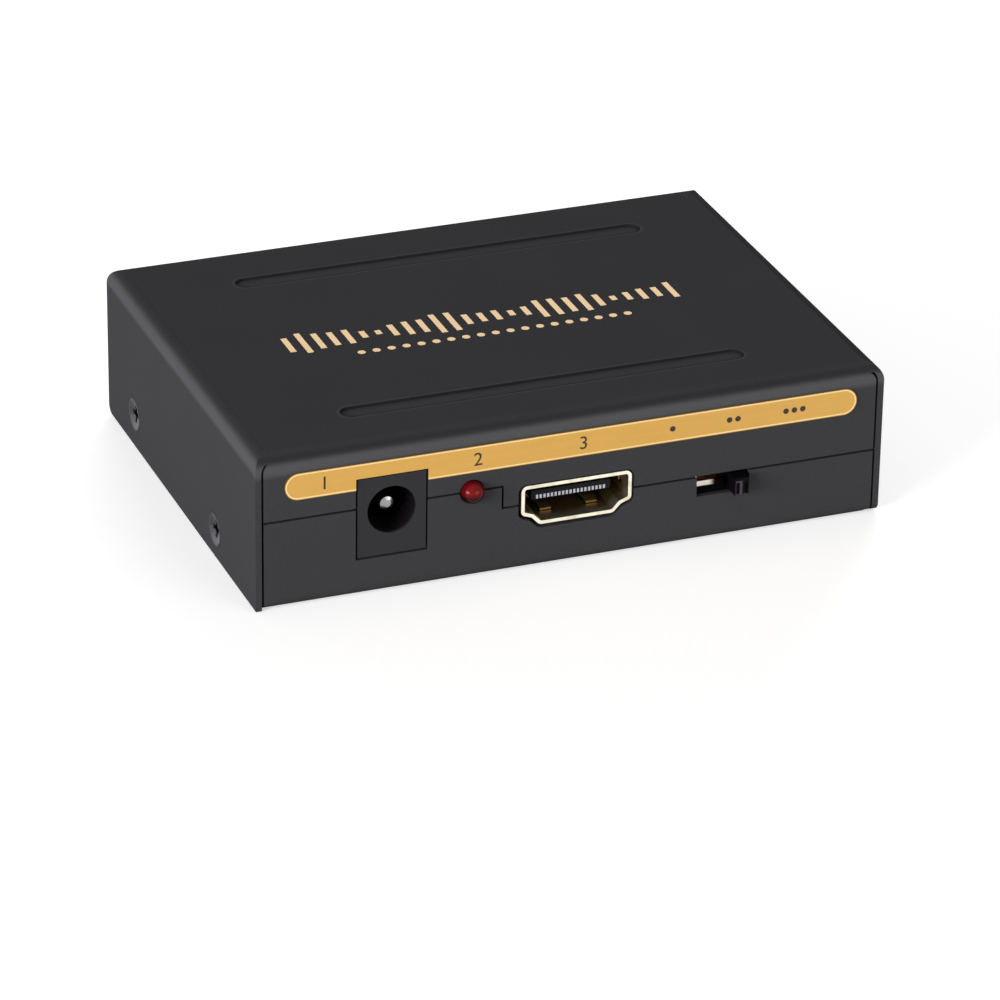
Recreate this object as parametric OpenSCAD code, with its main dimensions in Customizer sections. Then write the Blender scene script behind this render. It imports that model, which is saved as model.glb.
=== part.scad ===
// Small steel box that takes the sound out of a digital video link.
// X runs to the right as seen from the input side, Y from the input side to the output side.
// The origin is the middle of the underside.

/* [Case] */
// Width of the case along its two long sides
case_w = 84; // [78:0.5:96]
// Depth of the case from the input side to the output side
case_d = 61; // [59:0.5:72]
// Height of the case
case_h = 21; // [20.5:0.25:26]
// Thickness of the folded sheet
sheet_t = 0.8; // [0.6:0.1:1]
// Outer radius of the bends round the top
cover_bend = 2.3; // [2:0.1:2.8]
// Outer radius of the bends under the tray
tray_bend = 1.4; // [1.2:0.1:1.8]
// Gap along the seams between the cover and the tray
seam_gap = 0.3; // [0.15:0.05:0.4]
// Radius of the rounded lower corner of each side flap
flap_corner = 1.25; // [1:0.25:3]
// How far the side flaps stop short of the underside
flap_lift = 0.1; // [0.05:0.05:0.3]

/* [Grooves in the top] */
// Length of the front groove
groove_front_l = 54; // [40:0.5:64]
// Length of the rear groove
groove_rear_l = 56.5; // [40:0.5:64]
// Width of each pressed groove
groove_w = 2.7; // [1.8:0.1:4]
// Depth of each pressed groove
groove_depth = 0.25; // [0.15:0.05:0.6]
// Distance of the front groove from the middle
groove_front = 21.6; // [16:0.2:23]
// Distance of the rear groove from the middle
groove_rear = 19.5; // [16:0.2:23]
// How far the front groove lies right of the middle
groove_front_x = -0.8; // [-2:0.1:2]
// How far the rear groove lies right of the middle
groove_rear_x = 0.5; // [-2:0.1:2]

/* [Tray] */
// Length of the side flanges that take the screws
flange_l = 48; // [44:1:50]
// Height of the side flanges
flange_h = 9; // [7.5:0.5:12]
// Radius of the extruded collar round each tapped hole
collar_r = 2; // [1.7:0.1:2.4]
// Height of the collar inside the flange
collar_h = 1; // [0.6:0.1:1.4]
// Width of the relief cuts at the ends of the flanges
relief_w = 0.8; // [0.5:0.1:1.2]

/* [Screws] */
// Diameter of the screws
screw_d = 2.5; // [2:0.1:2.6]
// Head diameter of the case screws
case_head_d = 4.5; // [4:0.1:5]
// Length of the case screws
case_screw_l = 4; // [3:0.25:4.25]
// Head diameter of the board screws
board_head_d = 4.4; // [4:0.1:5]
// Head height of the board screws
board_head_h = 1.6; // [1.2:0.1:2]
// Length of the board screws under the head
board_screw_l = 3.8; // [3:0.2:4.2]
// Distance of the nearer screw of each side from the middle
near_screw_y = 14.3; // [11:0.1:16]
// Height of the nearer screw of each side
near_screw_z = 3.8; // [3.5:0.1:4.5]
// Distance of the farther screw of each side from the middle
far_screw_y = 19.2; // [17.5:0.1:20.5]
// Height of the farther screw of each side
far_screw_z = 4.6; // [3.8:0.1:5]

/* [Board] */
// Height of the standoffs above the tray floor
standoff_h = 2.85; // [2.5:0.05:3.1]
// Thickness of the circuit board
board_t = 1.6; // [1.2:0.1:1.6]
// Gap from the board to the long sides of the case
board_gap = 0.7; // [0.4:0.1:1]
// Gap from the board to the short ends of the case
board_end_gap = 3.7; // [3.5:0.1:4.5]
// Distance of the board screws from the ends of the case
board_screw_edge = 8.5; // [8:0.5:10]
// Distance of the board screws from the middle, front to back
board_screw_y = 11; // [9:0.5:12]

/* [Heights] */
// Height of the lights, the phono jacks and the upper parting line, as a share of the case's
high_line_share = 0.57381; // [0.565:0.001:0.583]
// Height of the optical port's middle, as a share of the case's
optical_axis_share = 0.58095; // [0.575:0.001:0.59]
// Height of the lower parting line above the board
low_line_h = 3.8; // [3.7:0.1:4]
// How far the middle of the video sockets lies below the lower parting line
video_drop = 0.2; // [0:0.05:0.3]
// Rise of the parting line beside the video output
line_rise = 0.8; // [0.4:0.1:1.2]
// Height of the power inlet's axis above the board
inlet_axis_h = 6.05; // [5.8:0.05:6.3]
// Height of the mode switch's knob above the board
knob_axis_h = 2.3; // [2.2:0.05:2.4]

/* [Places along the input side] */
// Power inlet, left of the middle
inlet_x = -24.24; // [-27:0.1:-21]
// Power light, left of the middle
power_light_x = -13.7; // [-14.5:0.1:-12.5]
// Step in the front parting line
front_step_x = -9.6; // [-10.5:0.1:-9]
// Video input
video_in_x = 0.25; // [-0.5:0.05:1]
// Mode switch
switch_x = 20.2; // [18:0.05:22]

/* [Places along the output side, seen from behind] */
// Video output
video_out_x = -25.3; // [-27:0.1:-24.5]
// Foot of the sloping part of the rear parting line
rear_slope_x = -16.3; // [-16.6:0.1:-16]
// Link light
link_light_x = -14.1; // [-14.5:0.1:-13]
// Optical port
optical_x = -4.95; // [-6:0.05:-4]
// Left phono jack
phono_left_x = 9.65; // [9:0.05:11]
// Right phono jack
phono_right_x = 23.6; // [23:0.1:25]

/* [Power inlet] */
// Width of the inlet housing
inlet_w = 9; // [8.6:0.1:9.4]
// Height of the inlet housing
inlet_h = 10.75; // [10.4:0.05:11]
// Length of the inlet housing
inlet_l = 14.2; // [13:0.1:15]
// Radius of the plug hole
inlet_hole_r = 3.2; // [3:0.05:3.3]
// Depth of the plug hole
inlet_hole_l = 10; // [9:0.1:10.5]
// Radius of the centre pin
inlet_pin_r = 1; // [0.8:0.05:1.25]
// How far the pin stays behind the face
inlet_pin_back = 1.7; // [1:0.1:3]

/* [Video sockets] */
// Width of the shell
video_w = 14.8; // [14.5:0.1:15.1]
// Height of the shell
video_h = 5.55; // [5.3:0.05:5.6]
// Width of the shell's narrow lower edge
video_foot_w = 9.9; // [9.2:0.1:10.4]
// Thickness of the shell
video_wall = 0.45; // [0.3:0.05:0.55]
// Length of the shell
video_l = 11.5; // [11:0.1:12.5]
// How far the shell stands out of the case
video_out = 0.1; // [0.05:0.05:1]
// Number of contacts
contact_count = 19; // [19]
// Spacing of the contacts
contact_pitch = 0.5; // [0.45:0.01:0.52]

/* [Lights] */
// Diameter of the lens
lens_d = 3; // [2.8:0.1:3.2]
// How far the lens stands out of the case
lens_out = 1.6; // [1.2:0.1:2.2]

/* [Mode switch] */
// Width of the knob
knob_w = 1.95; // [1.4:0.05:2.2]
// Height of the knob
knob_h = 2.3; // [1.7:0.1:2.3]
// How far the knob stands out of the case
knob_out = 1.4; // [1:0.1:3]
// Spacing of the three positions
switch_pitch = 2; // [1.6:0.1:2]
// Width of the window in the case
window_w = 7.2; // [6.8:0.1:7.6]
// Width of the switch body
switch_w = 12.6; // [12:0.1:13.2]

/* [Optical port] */
// Width of the port's frame
optical_w = 9.7; // [9.4:0.1:10]
// Height of the port's frame
optical_h = 10.2; // [10:0.05:10.4]
// Length of the port's housing
optical_l = 13.4; // [12.8:0.1:14.5]
// Width of the plug opening
mouth_w = 5.9; // [5.6:0.05:6.1]
// Height of the plug opening
mouth_h = 8; // [7.8:0.05:8.2]
// Depth of the plug opening
mouth_l = 9.4; // [9:0.1:10]
// Thickness of the shutter
shutter_t = 0.8; // [0.6:0.05:0.9]
// Radius of the shutter's hinge pin
hinge_pin_r = 0.4; // [0.3:0.02:0.42]

/* [Phono jacks] */
// Radius of the metal shell
phono_r = 4.15; // [4:0.05:4.25]
// How far the shell stands out of the case
phono_out = 4.85; // [4:0.05:8]
// Radius of the hole in the insulator
phono_hole_r = 1.65; // [1.6:0.01:1.75]
// Radius of the insulator's visible face
phono_face_r = 2.9; // [2.6:0.05:3.1]
// Height of the block that carries both jacks, above their axis
phono_block_up = 5.4; // [5:0.1:5.8]
// Length of the block behind the case wall
phono_block_l = 10; // [9:0.1:11]

/* [Labels] */
// Height of the gold strips
label_h = 3.75; // [3:0.05:4]
// Thickness of the gold strips
label_t = 0.15; // [0.1:0.05:0.3]
// Distance of the input strip from both ends of the case
input_label_edge = 3.7; // [3.5:0.1:7]
// Distance of the output strip from the left end of the case, seen from behind
output_label_left = 9.1; // [6:0.1:12]
// Distance of the output strip from the right end of the case, seen from behind
output_label_right = 7.3; // [5:0.1:10]
// Middle of the input strip below the top of the case
input_label_drop = 4.5; // [4.4:0.05:5]
// Middle of the output strip above the underside
output_label_z = 3; // [2.9:0.05:3.2]

/* [Hidden] */
$fn = 48;

// One overrun for every cut, and the clearance of pieces that sit in each other
cut = 1;
seat = 0.05;

// Heights that everything is set out from
board_z = sheet_t + standoff_h;
board_top = board_z + board_t;
high_line = case_h * high_line_share;
low_line = board_top + low_line_h;
video_axis = low_line - video_drop;
inlet_axis = board_top + inlet_axis_h;
optical_axis = case_h * optical_axis_share;
knob_axis = board_top + knob_axis_h;
tail = 0.9;
tail_z = board_z - tail;

// Case
inner_w = case_w - 2 * sheet_t;
tray_w = inner_w - 2 * seam_gap;
board_screw_x = case_w / 2 - board_screw_edge;
groove_rim = 0.5;
grooves = [[groove_front_x, -groove_front, groove_front_l], [groove_rear_x, groove_rear, groove_rear_l]];
relief_r = 0.35;
pry_w = 0.7;
pry_h = 0.45;
slit_w = 0.2;
slit_slope_share = 1.9;
slit_l = 5.4;
head_play = 0.1;
dish_depth = 0.3;
dish_r = 0.8;
dish_rim = 0.25;
thread_play = 0.05;
side_screws = [[-near_screw_y, near_screw_z], [far_screw_y, far_screw_z]];

// Cross recess of the screws
recess_w = 0.7;
recess_l = 2.3;
recess_depth = 0.7;

// Standoffs
standoff_r = 2.5;
shank_r = 2;
standoff_bore_l = 2.4;
board_hole_play = 0.2;

// Power inlet
inlet_play = 0.25;
inlet_face_back = 0.1;
inlet_front_l = 3.3;
inlet_body_r = 4.1;
inlet_shank_r = 0.75;
inlet_tab_w = 1.9;
inlet_tab_t = 0.3;
inlet_slot_h = 2.6;
inlet_slot_x = 4.6;
inlet_slot_w = 0.7;
spring_t = 0.3;
spring_h = 2.2;
spring_x = 4.35;
spring_points = [
    [-4.2, -13.9], [-4.2, -9.2], [-3.05, -6.4], [-3.7, -3.9],
    [-4, -3.9], [-3.35, -6.4], [-4.5, -9.2], [-4.5, -13.9]
];

// Video sockets
video_play = 0.35;
video_hole_drop = 0.2;
shoulder_h = 1.6;
shoulder_in = 1.4;
shoulder_drop = 0.5;
tongue_w = 10.6;
tongue_t = 1.2;
tongue_up = 0.35;
tongue_back = 2;
block_l = 2.3;
block_back = 1.2;
contact_w = 0.3;
contact_t = 0.16;
contact_foot = 0.7;
contact_play = 0.02;
nose_h = 0.54;
nose_l = 0.6;
finger_w = 1.5;
finger_gap = 0.3;
finger_back = 2.4;
finger_l = 5.2;
finger_dip = 0.35;
finger_x = 3.1;
finger_t = 0.25;
leg_w = 1.2;
leg_hole_r = 0.85;
leg_places = [3.4, 8.8];

// Lights
lens_play = 0.12;
lens_flange_r = 1.9;
lens_flange_t = 1;
lead_w = 0.45;
lead_x = 1.27;
lead_back = 4.2;
lead_hole_r = 0.45;

// Mode switch, depths measured from the outside of the case
window_drop = 1.25;
frame_back = 0.2;
frame_t = 0.3;
frame_l = 4.3;
frame_top_h = 4.75;
frame_foot_h = 1.7;
slot_h = 0.85;
plate_h = 0.7;
slot_play = 0.3;
stem_h = 0.6;
stem_up = 0.82;
slider_w = 4;
slider_l = 2.85;
slider_h = 1.7;
slide_play = 0.1;
wiper_t = 0.25;
back_t = 0.8;
terminal_w = 0.6;
terminal_t = 0.3;
rivet_r = 0.5;
knob_ridge = 0.25;
knob_ridge_w = 0.5;
knob_ridge_share = 0.75;

// Optical port
optical_play = 0.25;
frame_depth = 1.4;
lip = 0.5;
mouth_corner = 1;
notch_r = 0.75;
notch_up = 0.7;
notch_l = 3;
clip_w = 0.35;
clip_h = 3;
clip_up = 1.8;
shutter_back = 1.1;
shutter_play = 0.1;
hinge_r = 0.95;
hinge_play = 0.04;
pin_play = 0.02;
pin_over = 1.3;
rib_w = 2.5;
rib_h = 5.5;
rib_out = 0.45;
coil_l = 1.3;
coil_r = 0.62;
coil_play = 0.04;
wire_r = 0.1;
coil_turns = 3;
coil_steps = 9;
spring_leg = 2.2;
spring_hook = 0.3;
ferrule_r = 1.7;
ferrule_hole_r = 1.1;
ferrule_l = 0.8;
emitter_w = 6;
emitter_h = 6.4;
emitter_l = 3.2;
emitter_lens_r = 0.9;
emitter_lead_pitch = 2.54;

// Phono jacks
phono_play = 0.55;
shell_wall = 0.5;
shell_root = 3.6;
shell_chamfer = 0.35;
shell_neck = 0.2;
shell_step = 0.2;
face_back = 0.1;
entry_w = 0.4;
sleeve_wall = 0.25;
contact_tab_w = 2;
block_w_over = 5.15;
block_back_gap = 0.1;

// Parts on the board, their middles as shares of the case's width and depth
processor_w = 14;
processor_t = 1.4;
processor_shares = [0.036, -0.049];
processor_lead_count = 14;
lead_pitch = 0.8;
gull_t = 0.18;
gull_w = 0.35;
gull_out = 1;
converter_l = 9.9;
converter_w = 3.9;
converter_t = 1.5;
converter_shares = [-0.179, 0.115];
converter_lead_count = 8;
converter_pitch = 1.27;
crystal_l = 10.2;
crystal_w = 3.8;
crystal_h = 3.4;
crystal_rim = 0.4;
crystal_shares = [0.238, 0.066];
regulator_w = 6.5;
regulator_d = 3.5;
regulator_h = 1.6;
regulator_shares = [-0.202, -0.115];
inductor_w = 6;
inductor_h = 3;
inductor_shares = [-0.298, 0.016];
can_r = 2.5;
can_h = 5.4;
can_base = 0.8;
can_shares = [[-0.298, -0.131], [-0.119, -0.213], [0.286, -0.18], [0.357, -0.049]];
chip_l = 2;
chip_w = 1.25;
chip_t = 0.6;
chip_shares = [
    [-0.095, 0], [-0.095, 0.049], [-0.095, -0.066], [0.167, -0.098], [0.167, -0.148],
    [0.214, -0.049], [0.262, -0.049], [0.262, 0.131], [0.131, 0.148], [0.036, 0.131],
    [-0.012, 0.131], [0.095, -0.221], [0.143, -0.221], [-0.232, -0.057], [-0.232, 0.016],
    [0.31, 0.148]
];

// Direction of a vector, and the points of an arc that rounds one corner of an outline
function unit(v) = v / norm(v);
function corner(a, p, b, r, steps) =
    let (u = unit(a - p), v = unit(b - p), half = acos(u * v) / 2,
        c = p + unit(u + v) * r / sin(half), reach = r / tan(half),
        s = p + u * reach - c, e = p + v * reach - c,
        from = atan2(s.y, s.x), turn = (atan2(e.y, e.x) - from + 540) % 360 - 180)
    [for (i = [0:steps]) c + r * [cos(from + turn * i / steps), sin(from + turn * i / steps)]];
function rounded(pts, radii, steps = 5) =
    let (n = len(pts))
    [for (i = [0:n - 1]) each radii[i] == 0 ? [pts[i]]
        : corner(pts[(i + n - 1) % n], pts[i], pts[(i + 1) % n], radii[i], steps)];

// A point moved off its line to the left by d, with the next and the last point to steer by
function shifted(a, p, b, d) =
    let (u = unit(p - a), v = unit(b - p), nu = [-u.y, u.x], nv = [-v.y, v.x])
    p + (nu + nv) * d / (1 + nu * nv);
function inset(pts, d) =
    let (n = len(pts))
    [for (i = [0:n - 1]) shifted(pts[(i + n - 1) % n], pts[i], pts[(i + 1) % n], d)];
function shift_line(pts, d) =
    let (last = len(pts) - 1)
    [for (i = [0:last]) shifted(
        i == 0 ? 2 * pts[0] - pts[1] : pts[i - 1], pts[i],
        i == last ? 2 * pts[last] - pts[last - 1] : pts[i + 1], d)];

// Parting lines between the cover and the tray, each seen from outside
function front_line() = [
    [-inner_w / 2, high_line], [front_step_x, high_line],
    [front_step_x, low_line], [inner_w / 2, low_line]
];
function rear_line() = [
    [-inner_w / 2, low_line], [video_out_x, low_line], [video_out_x, low_line + line_rise],
    [rear_slope_x, low_line + line_rise],
    [rear_slope_x + (high_line - low_line - line_rise) / slit_slope_share, high_line],
    [inner_w / 2, high_line]
];

// Outline of a video socket round its own middle, anticlockwise from the lower left
function video_outline() = [
    [-video_foot_w / 2, -video_h / 2], [video_foot_w / 2, -video_h / 2],
    [video_w / 2 - shoulder_in, -video_h / 2 + shoulder_h - shoulder_drop],
    [video_w / 2, -video_h / 2 + shoulder_h], [video_w / 2, video_h / 2],
    [-video_w / 2, video_h / 2], [-video_w / 2, -video_h / 2 + shoulder_h],
    [-video_w / 2 + shoulder_in, -video_h / 2 + shoulder_h - shoulder_drop]
];
video_radii = [0.9, 0.9, 0.6, 0.6, 0.8, 0.8, 0.6, 0.6];

// Faces of the case: x to the right, y up from the underside and z outwards
module at_front(x = 0) {
    translate([x, -case_d / 2, 0]) rotate([90, 0, 0]) children();
}
module at_rear(x = 0) {
    translate([-x, case_d / 2, 0]) rotate([90, 0, 180]) children();
}
// A side flap: the same pair of screws on each end, half a turn apart
module at_side_screws() {
    for (turn = [0, 180]) rotate([0, 0, turn]) for (p = side_screws)
        translate([-case_w / 2, p.x, p.y]) rotate([0, 90, 0]) children();
}
module at_board_screws() {
    for (x = [-1, 1], y = [-1, 1])
        translate([x * board_screw_x, y * board_screw_y, 0]) children();
}
// A block by its middle in x, its foot in y and its front in z
module block(w, h, l, y = 0, z = 0, x = 0) {
    translate([x - w / 2, y, z - l]) cube([w, h, l]);
}
// A hole up through the board, on a face's own axes
module board_hole(x, z, r) {
    translate([x, board_z - cut, z]) rotate([-90, 0, 0]) cylinder(r = r, h = board_t + 2 * cut);
}
module obround(l, w) {
    square([l - w, w], center = true);
    for (s = [-1, 1]) translate([s * (l - w) / 2, 0]) circle(d = w);
}

// Box folded down on all four sides, with round bends along the top
module bent_profile(w, h, r) {
    translate([-w / 2, 0]) square([w, h - r]);
    translate([-w / 2 + r, 0]) square([w - 2 * r, h]);
    for (s = [-1, 1]) translate([s * (w / 2 - r), h - r]) circle(r = r);
}
module bent_box(w, d, h, r) {
    intersection() {
        translate([0, d / 2, 0]) rotate([90, 0, 0]) linear_extrude(d) bent_profile(w, h, r);
        translate([-w / 2, 0, 0]) rotate([90, 0, 90]) linear_extrude(w) bent_profile(d, h, r);
    }
}
// The sheet on the far side of a parting line, as a slab to be cut away
module below_line(pts) {
    up = shift_line(pts, seam_gap / 2);
    translate([0, 0, -cover_bend]) linear_extrude(cover_bend + cut)
        polygon(concat([[-inner_w / 2, -cut]], up, [[inner_w / 2, -cut]]));
}
module above_line(pts) {
    down = shift_line(pts, -seam_gap / 2);
    translate([0, 0, -cover_bend]) linear_extrude(cover_bend + cut)
        polygon(concat([[inner_w / 2, case_h], [-inner_w / 2, case_h]], down));
}
// Seam between a side flap and a long flap, which follows the bend at its top
module flap_seam() {
    depth = cover_bend;
    translate([inner_w / 2 - seam_gap, -cut, -depth])
        cube([seam_gap, case_h - cover_bend + cut, depth + cut]);
    translate([case_w / 2 - cover_bend, case_h - cover_bend, -depth]) intersection() {
        difference() {
            cylinder(r = cover_bend - sheet_t, h = depth + cut);
            translate([0, 0, -cut])
                cylinder(r = cover_bend - sheet_t - seam_gap, h = depth + 3 * cut);
        }
        cube([cover_bend, cover_bend / 2, depth + cut]);
    }
}
module lens_hole(x) {
    translate([x, high_line, -cover_bend])
        cylinder(r = lens_d / 2 + lens_play, h = cover_bend + cut);
}
module video_hole(x) {
    translate([x, video_axis - video_hole_drop, -cover_bend]) linear_extrude(cover_bend + cut)
        polygon(rounded(inset(video_outline(), -video_play), [for (r = video_radii) r + video_play]));
}
module front_holes() {
    translate([inlet_x, 0, cut])
        block(inlet_w + 2 * inlet_play, inlet_h + 2 * inlet_play, cover_bend + cut, board_top - inlet_play);
    lens_hole(power_light_x);
    video_hole(video_in_x);
    translate([switch_x, 0, cut])
        block(window_w, low_line - knob_axis + window_drop, cover_bend + cut, knob_axis - window_drop);
}
module rear_holes() {
    video_hole(video_out_x);
    lens_hole(link_light_x);
    translate([optical_x, 0, cut])
        block(optical_w + 2 * optical_play, optical_h + 2 * optical_play, cover_bend + cut,
            optical_axis - optical_h / 2 - optical_play);
    for (x = [phono_left_x, phono_right_x]) translate([x, high_line, -cover_bend])
        cylinder(r = phono_r + phono_play, h = cover_bend + cut);
}
module cross_recess() {
    for (turn = [0, 90]) rotate([0, 0, turn]) translate([-recess_l / 2, -recess_w / 2, -cut])
        cube([recess_l, recess_w, recess_depth + cut]);
}

module top_cover() {
    color("#303032") difference() {
        union() {
            difference() {
                bent_box(case_w, case_d, case_h, cover_bend);
                translate([0, 0, -cut]) bent_box(inner_w, case_d - 2 * sheet_t,
                    case_h - sheet_t + cut, cover_bend - sheet_t);
            }
            for (g = grooves) translate([g.x, g.y, case_h - sheet_t - groove_depth])
                linear_extrude(groove_depth + sheet_t / 2)
                    obround(g.z + 2 * groove_rim, groove_w + 2 * groove_rim);
        }
        for (g = grooves) translate([g.x, g.y, case_h - groove_depth])
            linear_extrude(groove_depth + cut) obround(g.z, groove_w);
        translate([-case_w / 2 - cut, -case_d / 2 - cut, -cut])
            cube([case_w + 2 * cut, case_d + 2 * cut, flap_lift + cut]);
        at_front() {
            below_line(front_line());
            front_holes();
            for (side = [0, 1]) mirror([side, 0, 0]) flap_seam();
        }
        at_rear() {
            below_line(rear_line());
            rear_holes();
            for (side = [0, 1]) mirror([side, 0, 0]) flap_seam();
        }
        for (turn = [0, 180]) rotate([0, 0, turn])
            translate([inner_w / 2 - cut, -case_d / 2, flap_lift]) rotate([90, 0, 90])
                linear_extrude(sheet_t + 2 * cut) difference() {
                    translate([-cut, -cut]) square([flap_corner + cut, flap_corner + cut]);
                    translate([flap_corner, flap_corner]) circle(r = flap_corner);
                }
        at_side_screws() {
            translate([0, 0, -cut]) cylinder(d = screw_d + 2 * head_play, h = sheet_t + 2 * cut);
            rotate_extrude() polygon([
                [0, -cut], [case_head_d / 2 + head_play, -cut], [case_head_d / 2 + head_play, 0],
                [case_head_d / 2 + head_play - sheet_t, sheet_t],
                [case_head_d / 2 + head_play - sheet_t, sheet_t + cut], [0, sheet_t + cut]
            ]);
        }
    }
}

module bottom_tray() {
    color("#333335") difference() {
        union() {
            difference() {
                translate([-tray_w / 2, 0, 0]) rotate([90, 0, 90]) linear_extrude(tray_w)
                    tray_profile(case_d);
                for (s = [-1, 1]) translate([s * tray_w / 2, 0, 0])
                    cube([2 * tray_bend, flange_l + 2 * relief_w, 2 * sheet_t + cut], center = true);
            }
            intersection() {
                translate([0, flange_l / 2, 0]) rotate([90, 0, 0]) linear_extrude(flange_l)
                    tray_profile(tray_w);
                for (s = [-1, 1]) translate([s * (tray_w - tray_bend) / 2, 0, flange_h / 2])
                    cube([tray_bend, flange_l, flange_h], center = true);
            }
            at_side_screws() translate([0, 0, sheet_t + seam_gap])
                cylinder(r = collar_r, h = sheet_t + collar_h);
        }
        at_side_screws() cylinder(d = screw_d + 2 * thread_play, h = case_screw_l + cut);
        at_board_screws() translate([0, 0, -cut]) cylinder(r = shank_r + seat, h = sheet_t + 2 * cut);
        at_front() {
            above_line(front_line());
            front_holes();
            pry_notch();
        }
        at_rear() {
            above_line(rear_line());
            rear_holes();
            pry_notch();
            translate([rear_slope_x, low_line + line_rise, -cover_bend])
                rotate([0, 0, 180 + atan(slit_slope_share)]) translate([0, -slit_w / 2, 0])
                    cube([slit_l, slit_w, cover_bend + cut]);
        }
    }
}
// A floor bent up at both sides
module tray_profile(w) {
    difference() {
        translate([0, case_h]) mirror([0, 1]) bent_profile(w, case_h, tray_bend);
        translate([0, case_h + cut]) mirror([0, 1])
            bent_profile(w - 2 * sheet_t, case_h - sheet_t + cut, tray_bend - sheet_t);
    }
}
module pry_notch() {
    translate([tray_w / 2 - pry_w, -cut, -tray_bend]) cube([pry_w + cut, pry_h + cut, tray_bend + cut]);
}

module case_screws() {
    color("#54565a") at_side_screws() difference() {
        rotate_extrude() polygon([
            [0, dish_depth], [dish_r, dish_depth], [case_head_d / 2 - dish_rim, 0],
            [case_head_d / 2, 0], [screw_d / 2, (case_head_d - screw_d) / 2],
            [screw_d / 2, case_screw_l - screw_d / 4], [screw_d / 4, case_screw_l],
            [0, case_screw_l]
        ]);
        cross_recess();
    }
}

module input_label() {
    color("#deac5a") at_front() difference() {
        translate([0, case_h - input_label_drop, 0]) linear_extrude(label_t)
            obround(case_w - 2 * input_label_edge, label_h);
        front_holes();
    }
}
module output_label() {
    color("#deac5a") at_rear() difference() {
        translate([(output_label_left - output_label_right) / 2, output_label_z, 0])
            linear_extrude(label_t)
                obround(case_w - output_label_left - output_label_right, label_h);
        rear_holes();
    }
}

module circuit_board() {
    board_w = case_w - 2 * (sheet_t + board_end_gap);
    board_d = case_d - 2 * (sheet_t + board_gap);
    color("#1f5a34") difference() {
        translate([-board_w / 2, -board_d / 2, board_z]) cube([board_w, board_d, board_t]);
        at_board_screws() translate([0, 0, board_z - cut])
            cylinder(d = screw_d + 2 * board_hole_play, h = board_t + 2 * cut);
        at_front() {
            light_holes(power_light_x);
            video_leg_holes(video_in_x);
            board_hole(inlet_x, -inlet_l - inlet_tab_t / 2, inlet_tab_w / 2 + board_hole_play);
            board_hole(inlet_x - spring_x, -inlet_l + inlet_tab_w, inlet_tab_w / 2 + board_hole_play);
            for (s = [-1, 1]) board_hole(switch_x + s * (switch_w - frame_t) / 2, switch_leg_z(),
                terminal_w + board_hole_play);
            for (i = [0:3]) board_hole(switch_x + terminal_x(i), terminal_z(), lead_hole_r);
        }
        at_rear() {
            light_holes(link_light_x);
            video_leg_holes(video_out_x);
            for (i = [-1:1]) board_hole(optical_x + i * emitter_lead_pitch, emitter_lead_z(), lead_hole_r);
            for (x = [phono_left_x, phono_right_x])
                board_hole(x, phono_tab_z(), contact_tab_w / 2 + board_hole_play);
        }
    }
}
module light_holes(x) {
    for (s = [-1, 1]) board_hole(x + s * lead_x, -lead_back, lead_hole_r);
}
module video_leg_holes(x) {
    for (s = [-1, 1], z = leg_places)
        board_hole(x + s * (video_w - video_wall) / 2, video_out - z, leg_hole_r);
}

module board_standoffs() {
    color("#c9a24a") at_board_screws() difference() {
        union() {
            cylinder(r = shank_r, h = board_z);
            translate([0, 0, sheet_t]) cylinder(r = standoff_r, h = standoff_h, $fn = 6);
        }
        translate([0, 0, board_z - standoff_bore_l])
            cylinder(d = screw_d + 2 * thread_play, h = standoff_bore_l + cut);
    }
}
module board_screws() {
    color("#b9bbbf") at_board_screws() translate([0, 0, board_top + board_head_h])
        mirror([0, 0, 1]) difference() {
            rotate_extrude() polygon([
                [0, 0], [board_head_d / 3, 0], [board_head_d / 2, board_head_h / 3],
                [board_head_d / 2, board_head_h], [screw_d / 2, board_head_h],
                [screw_d / 2, board_head_h + board_screw_l], [0, board_head_h + board_screw_l]
            ]);
            cross_recess();
        }
}

module inlet_housing() {
    color("#262628") at_front(inlet_x) difference() {
        union() {
            block(inlet_w, inlet_h, inlet_front_l - inlet_face_back, board_top, -inlet_face_back);
            block(2 * inlet_body_r, inlet_axis_h, inlet_l - inlet_front_l, board_top, -inlet_front_l);
            translate([0, inlet_axis, -inlet_l])
                cylinder(r = inlet_body_r, h = inlet_l - inlet_front_l);
            block(inlet_w, inlet_axis_h, inlet_tab_w * 2, board_top, -inlet_l + inlet_tab_w * 2);
        }
        translate([0, inlet_axis, -inlet_hole_l]) cylinder(r = inlet_hole_r, h = inlet_hole_l + cut);
        translate([0, inlet_axis, -inlet_l - cut])
            cylinder(r = inlet_shank_r + seat, h = inlet_l - inlet_hole_l + 2 * cut);
        block(inlet_slot_x - inlet_hole_r + 2 * inlet_slot_w, inlet_slot_h,
            inlet_l - inlet_front_l + cut, inlet_axis - inlet_slot_h / 2, -inlet_front_l,
            -(inlet_slot_x + inlet_hole_r) / 2);
        block(2 * inlet_slot_w, inlet_axis_h + cut, inlet_tab_w * 2 + cut, board_top - cut,
            -inlet_l + inlet_tab_w * 2, -inlet_slot_x);
    }
}
module inlet_pin() {
    tip = inlet_pin_r / 2;
    root = seat - inlet_hole_l;
    dome = -inlet_pin_back - tip;
    color("#c8c8c4") at_front(inlet_x) {
        translate([0, inlet_axis, 0]) rotate_extrude() polygon([
            [0, -inlet_l - inlet_tab_t], [inlet_shank_r, -inlet_l - inlet_tab_t],
            [inlet_shank_r, root], [inlet_pin_r, root], [inlet_pin_r, dome],
            [inlet_pin_r * cos(30), dome + tip / 2], [inlet_pin_r / 2, dome + tip * cos(30)],
            [0, dome + tip]
        ]);
        block(inlet_tab_w, inlet_axis - tail_z + inlet_pin_r, inlet_tab_t, tail_z, -inlet_l);
    }
}
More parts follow.
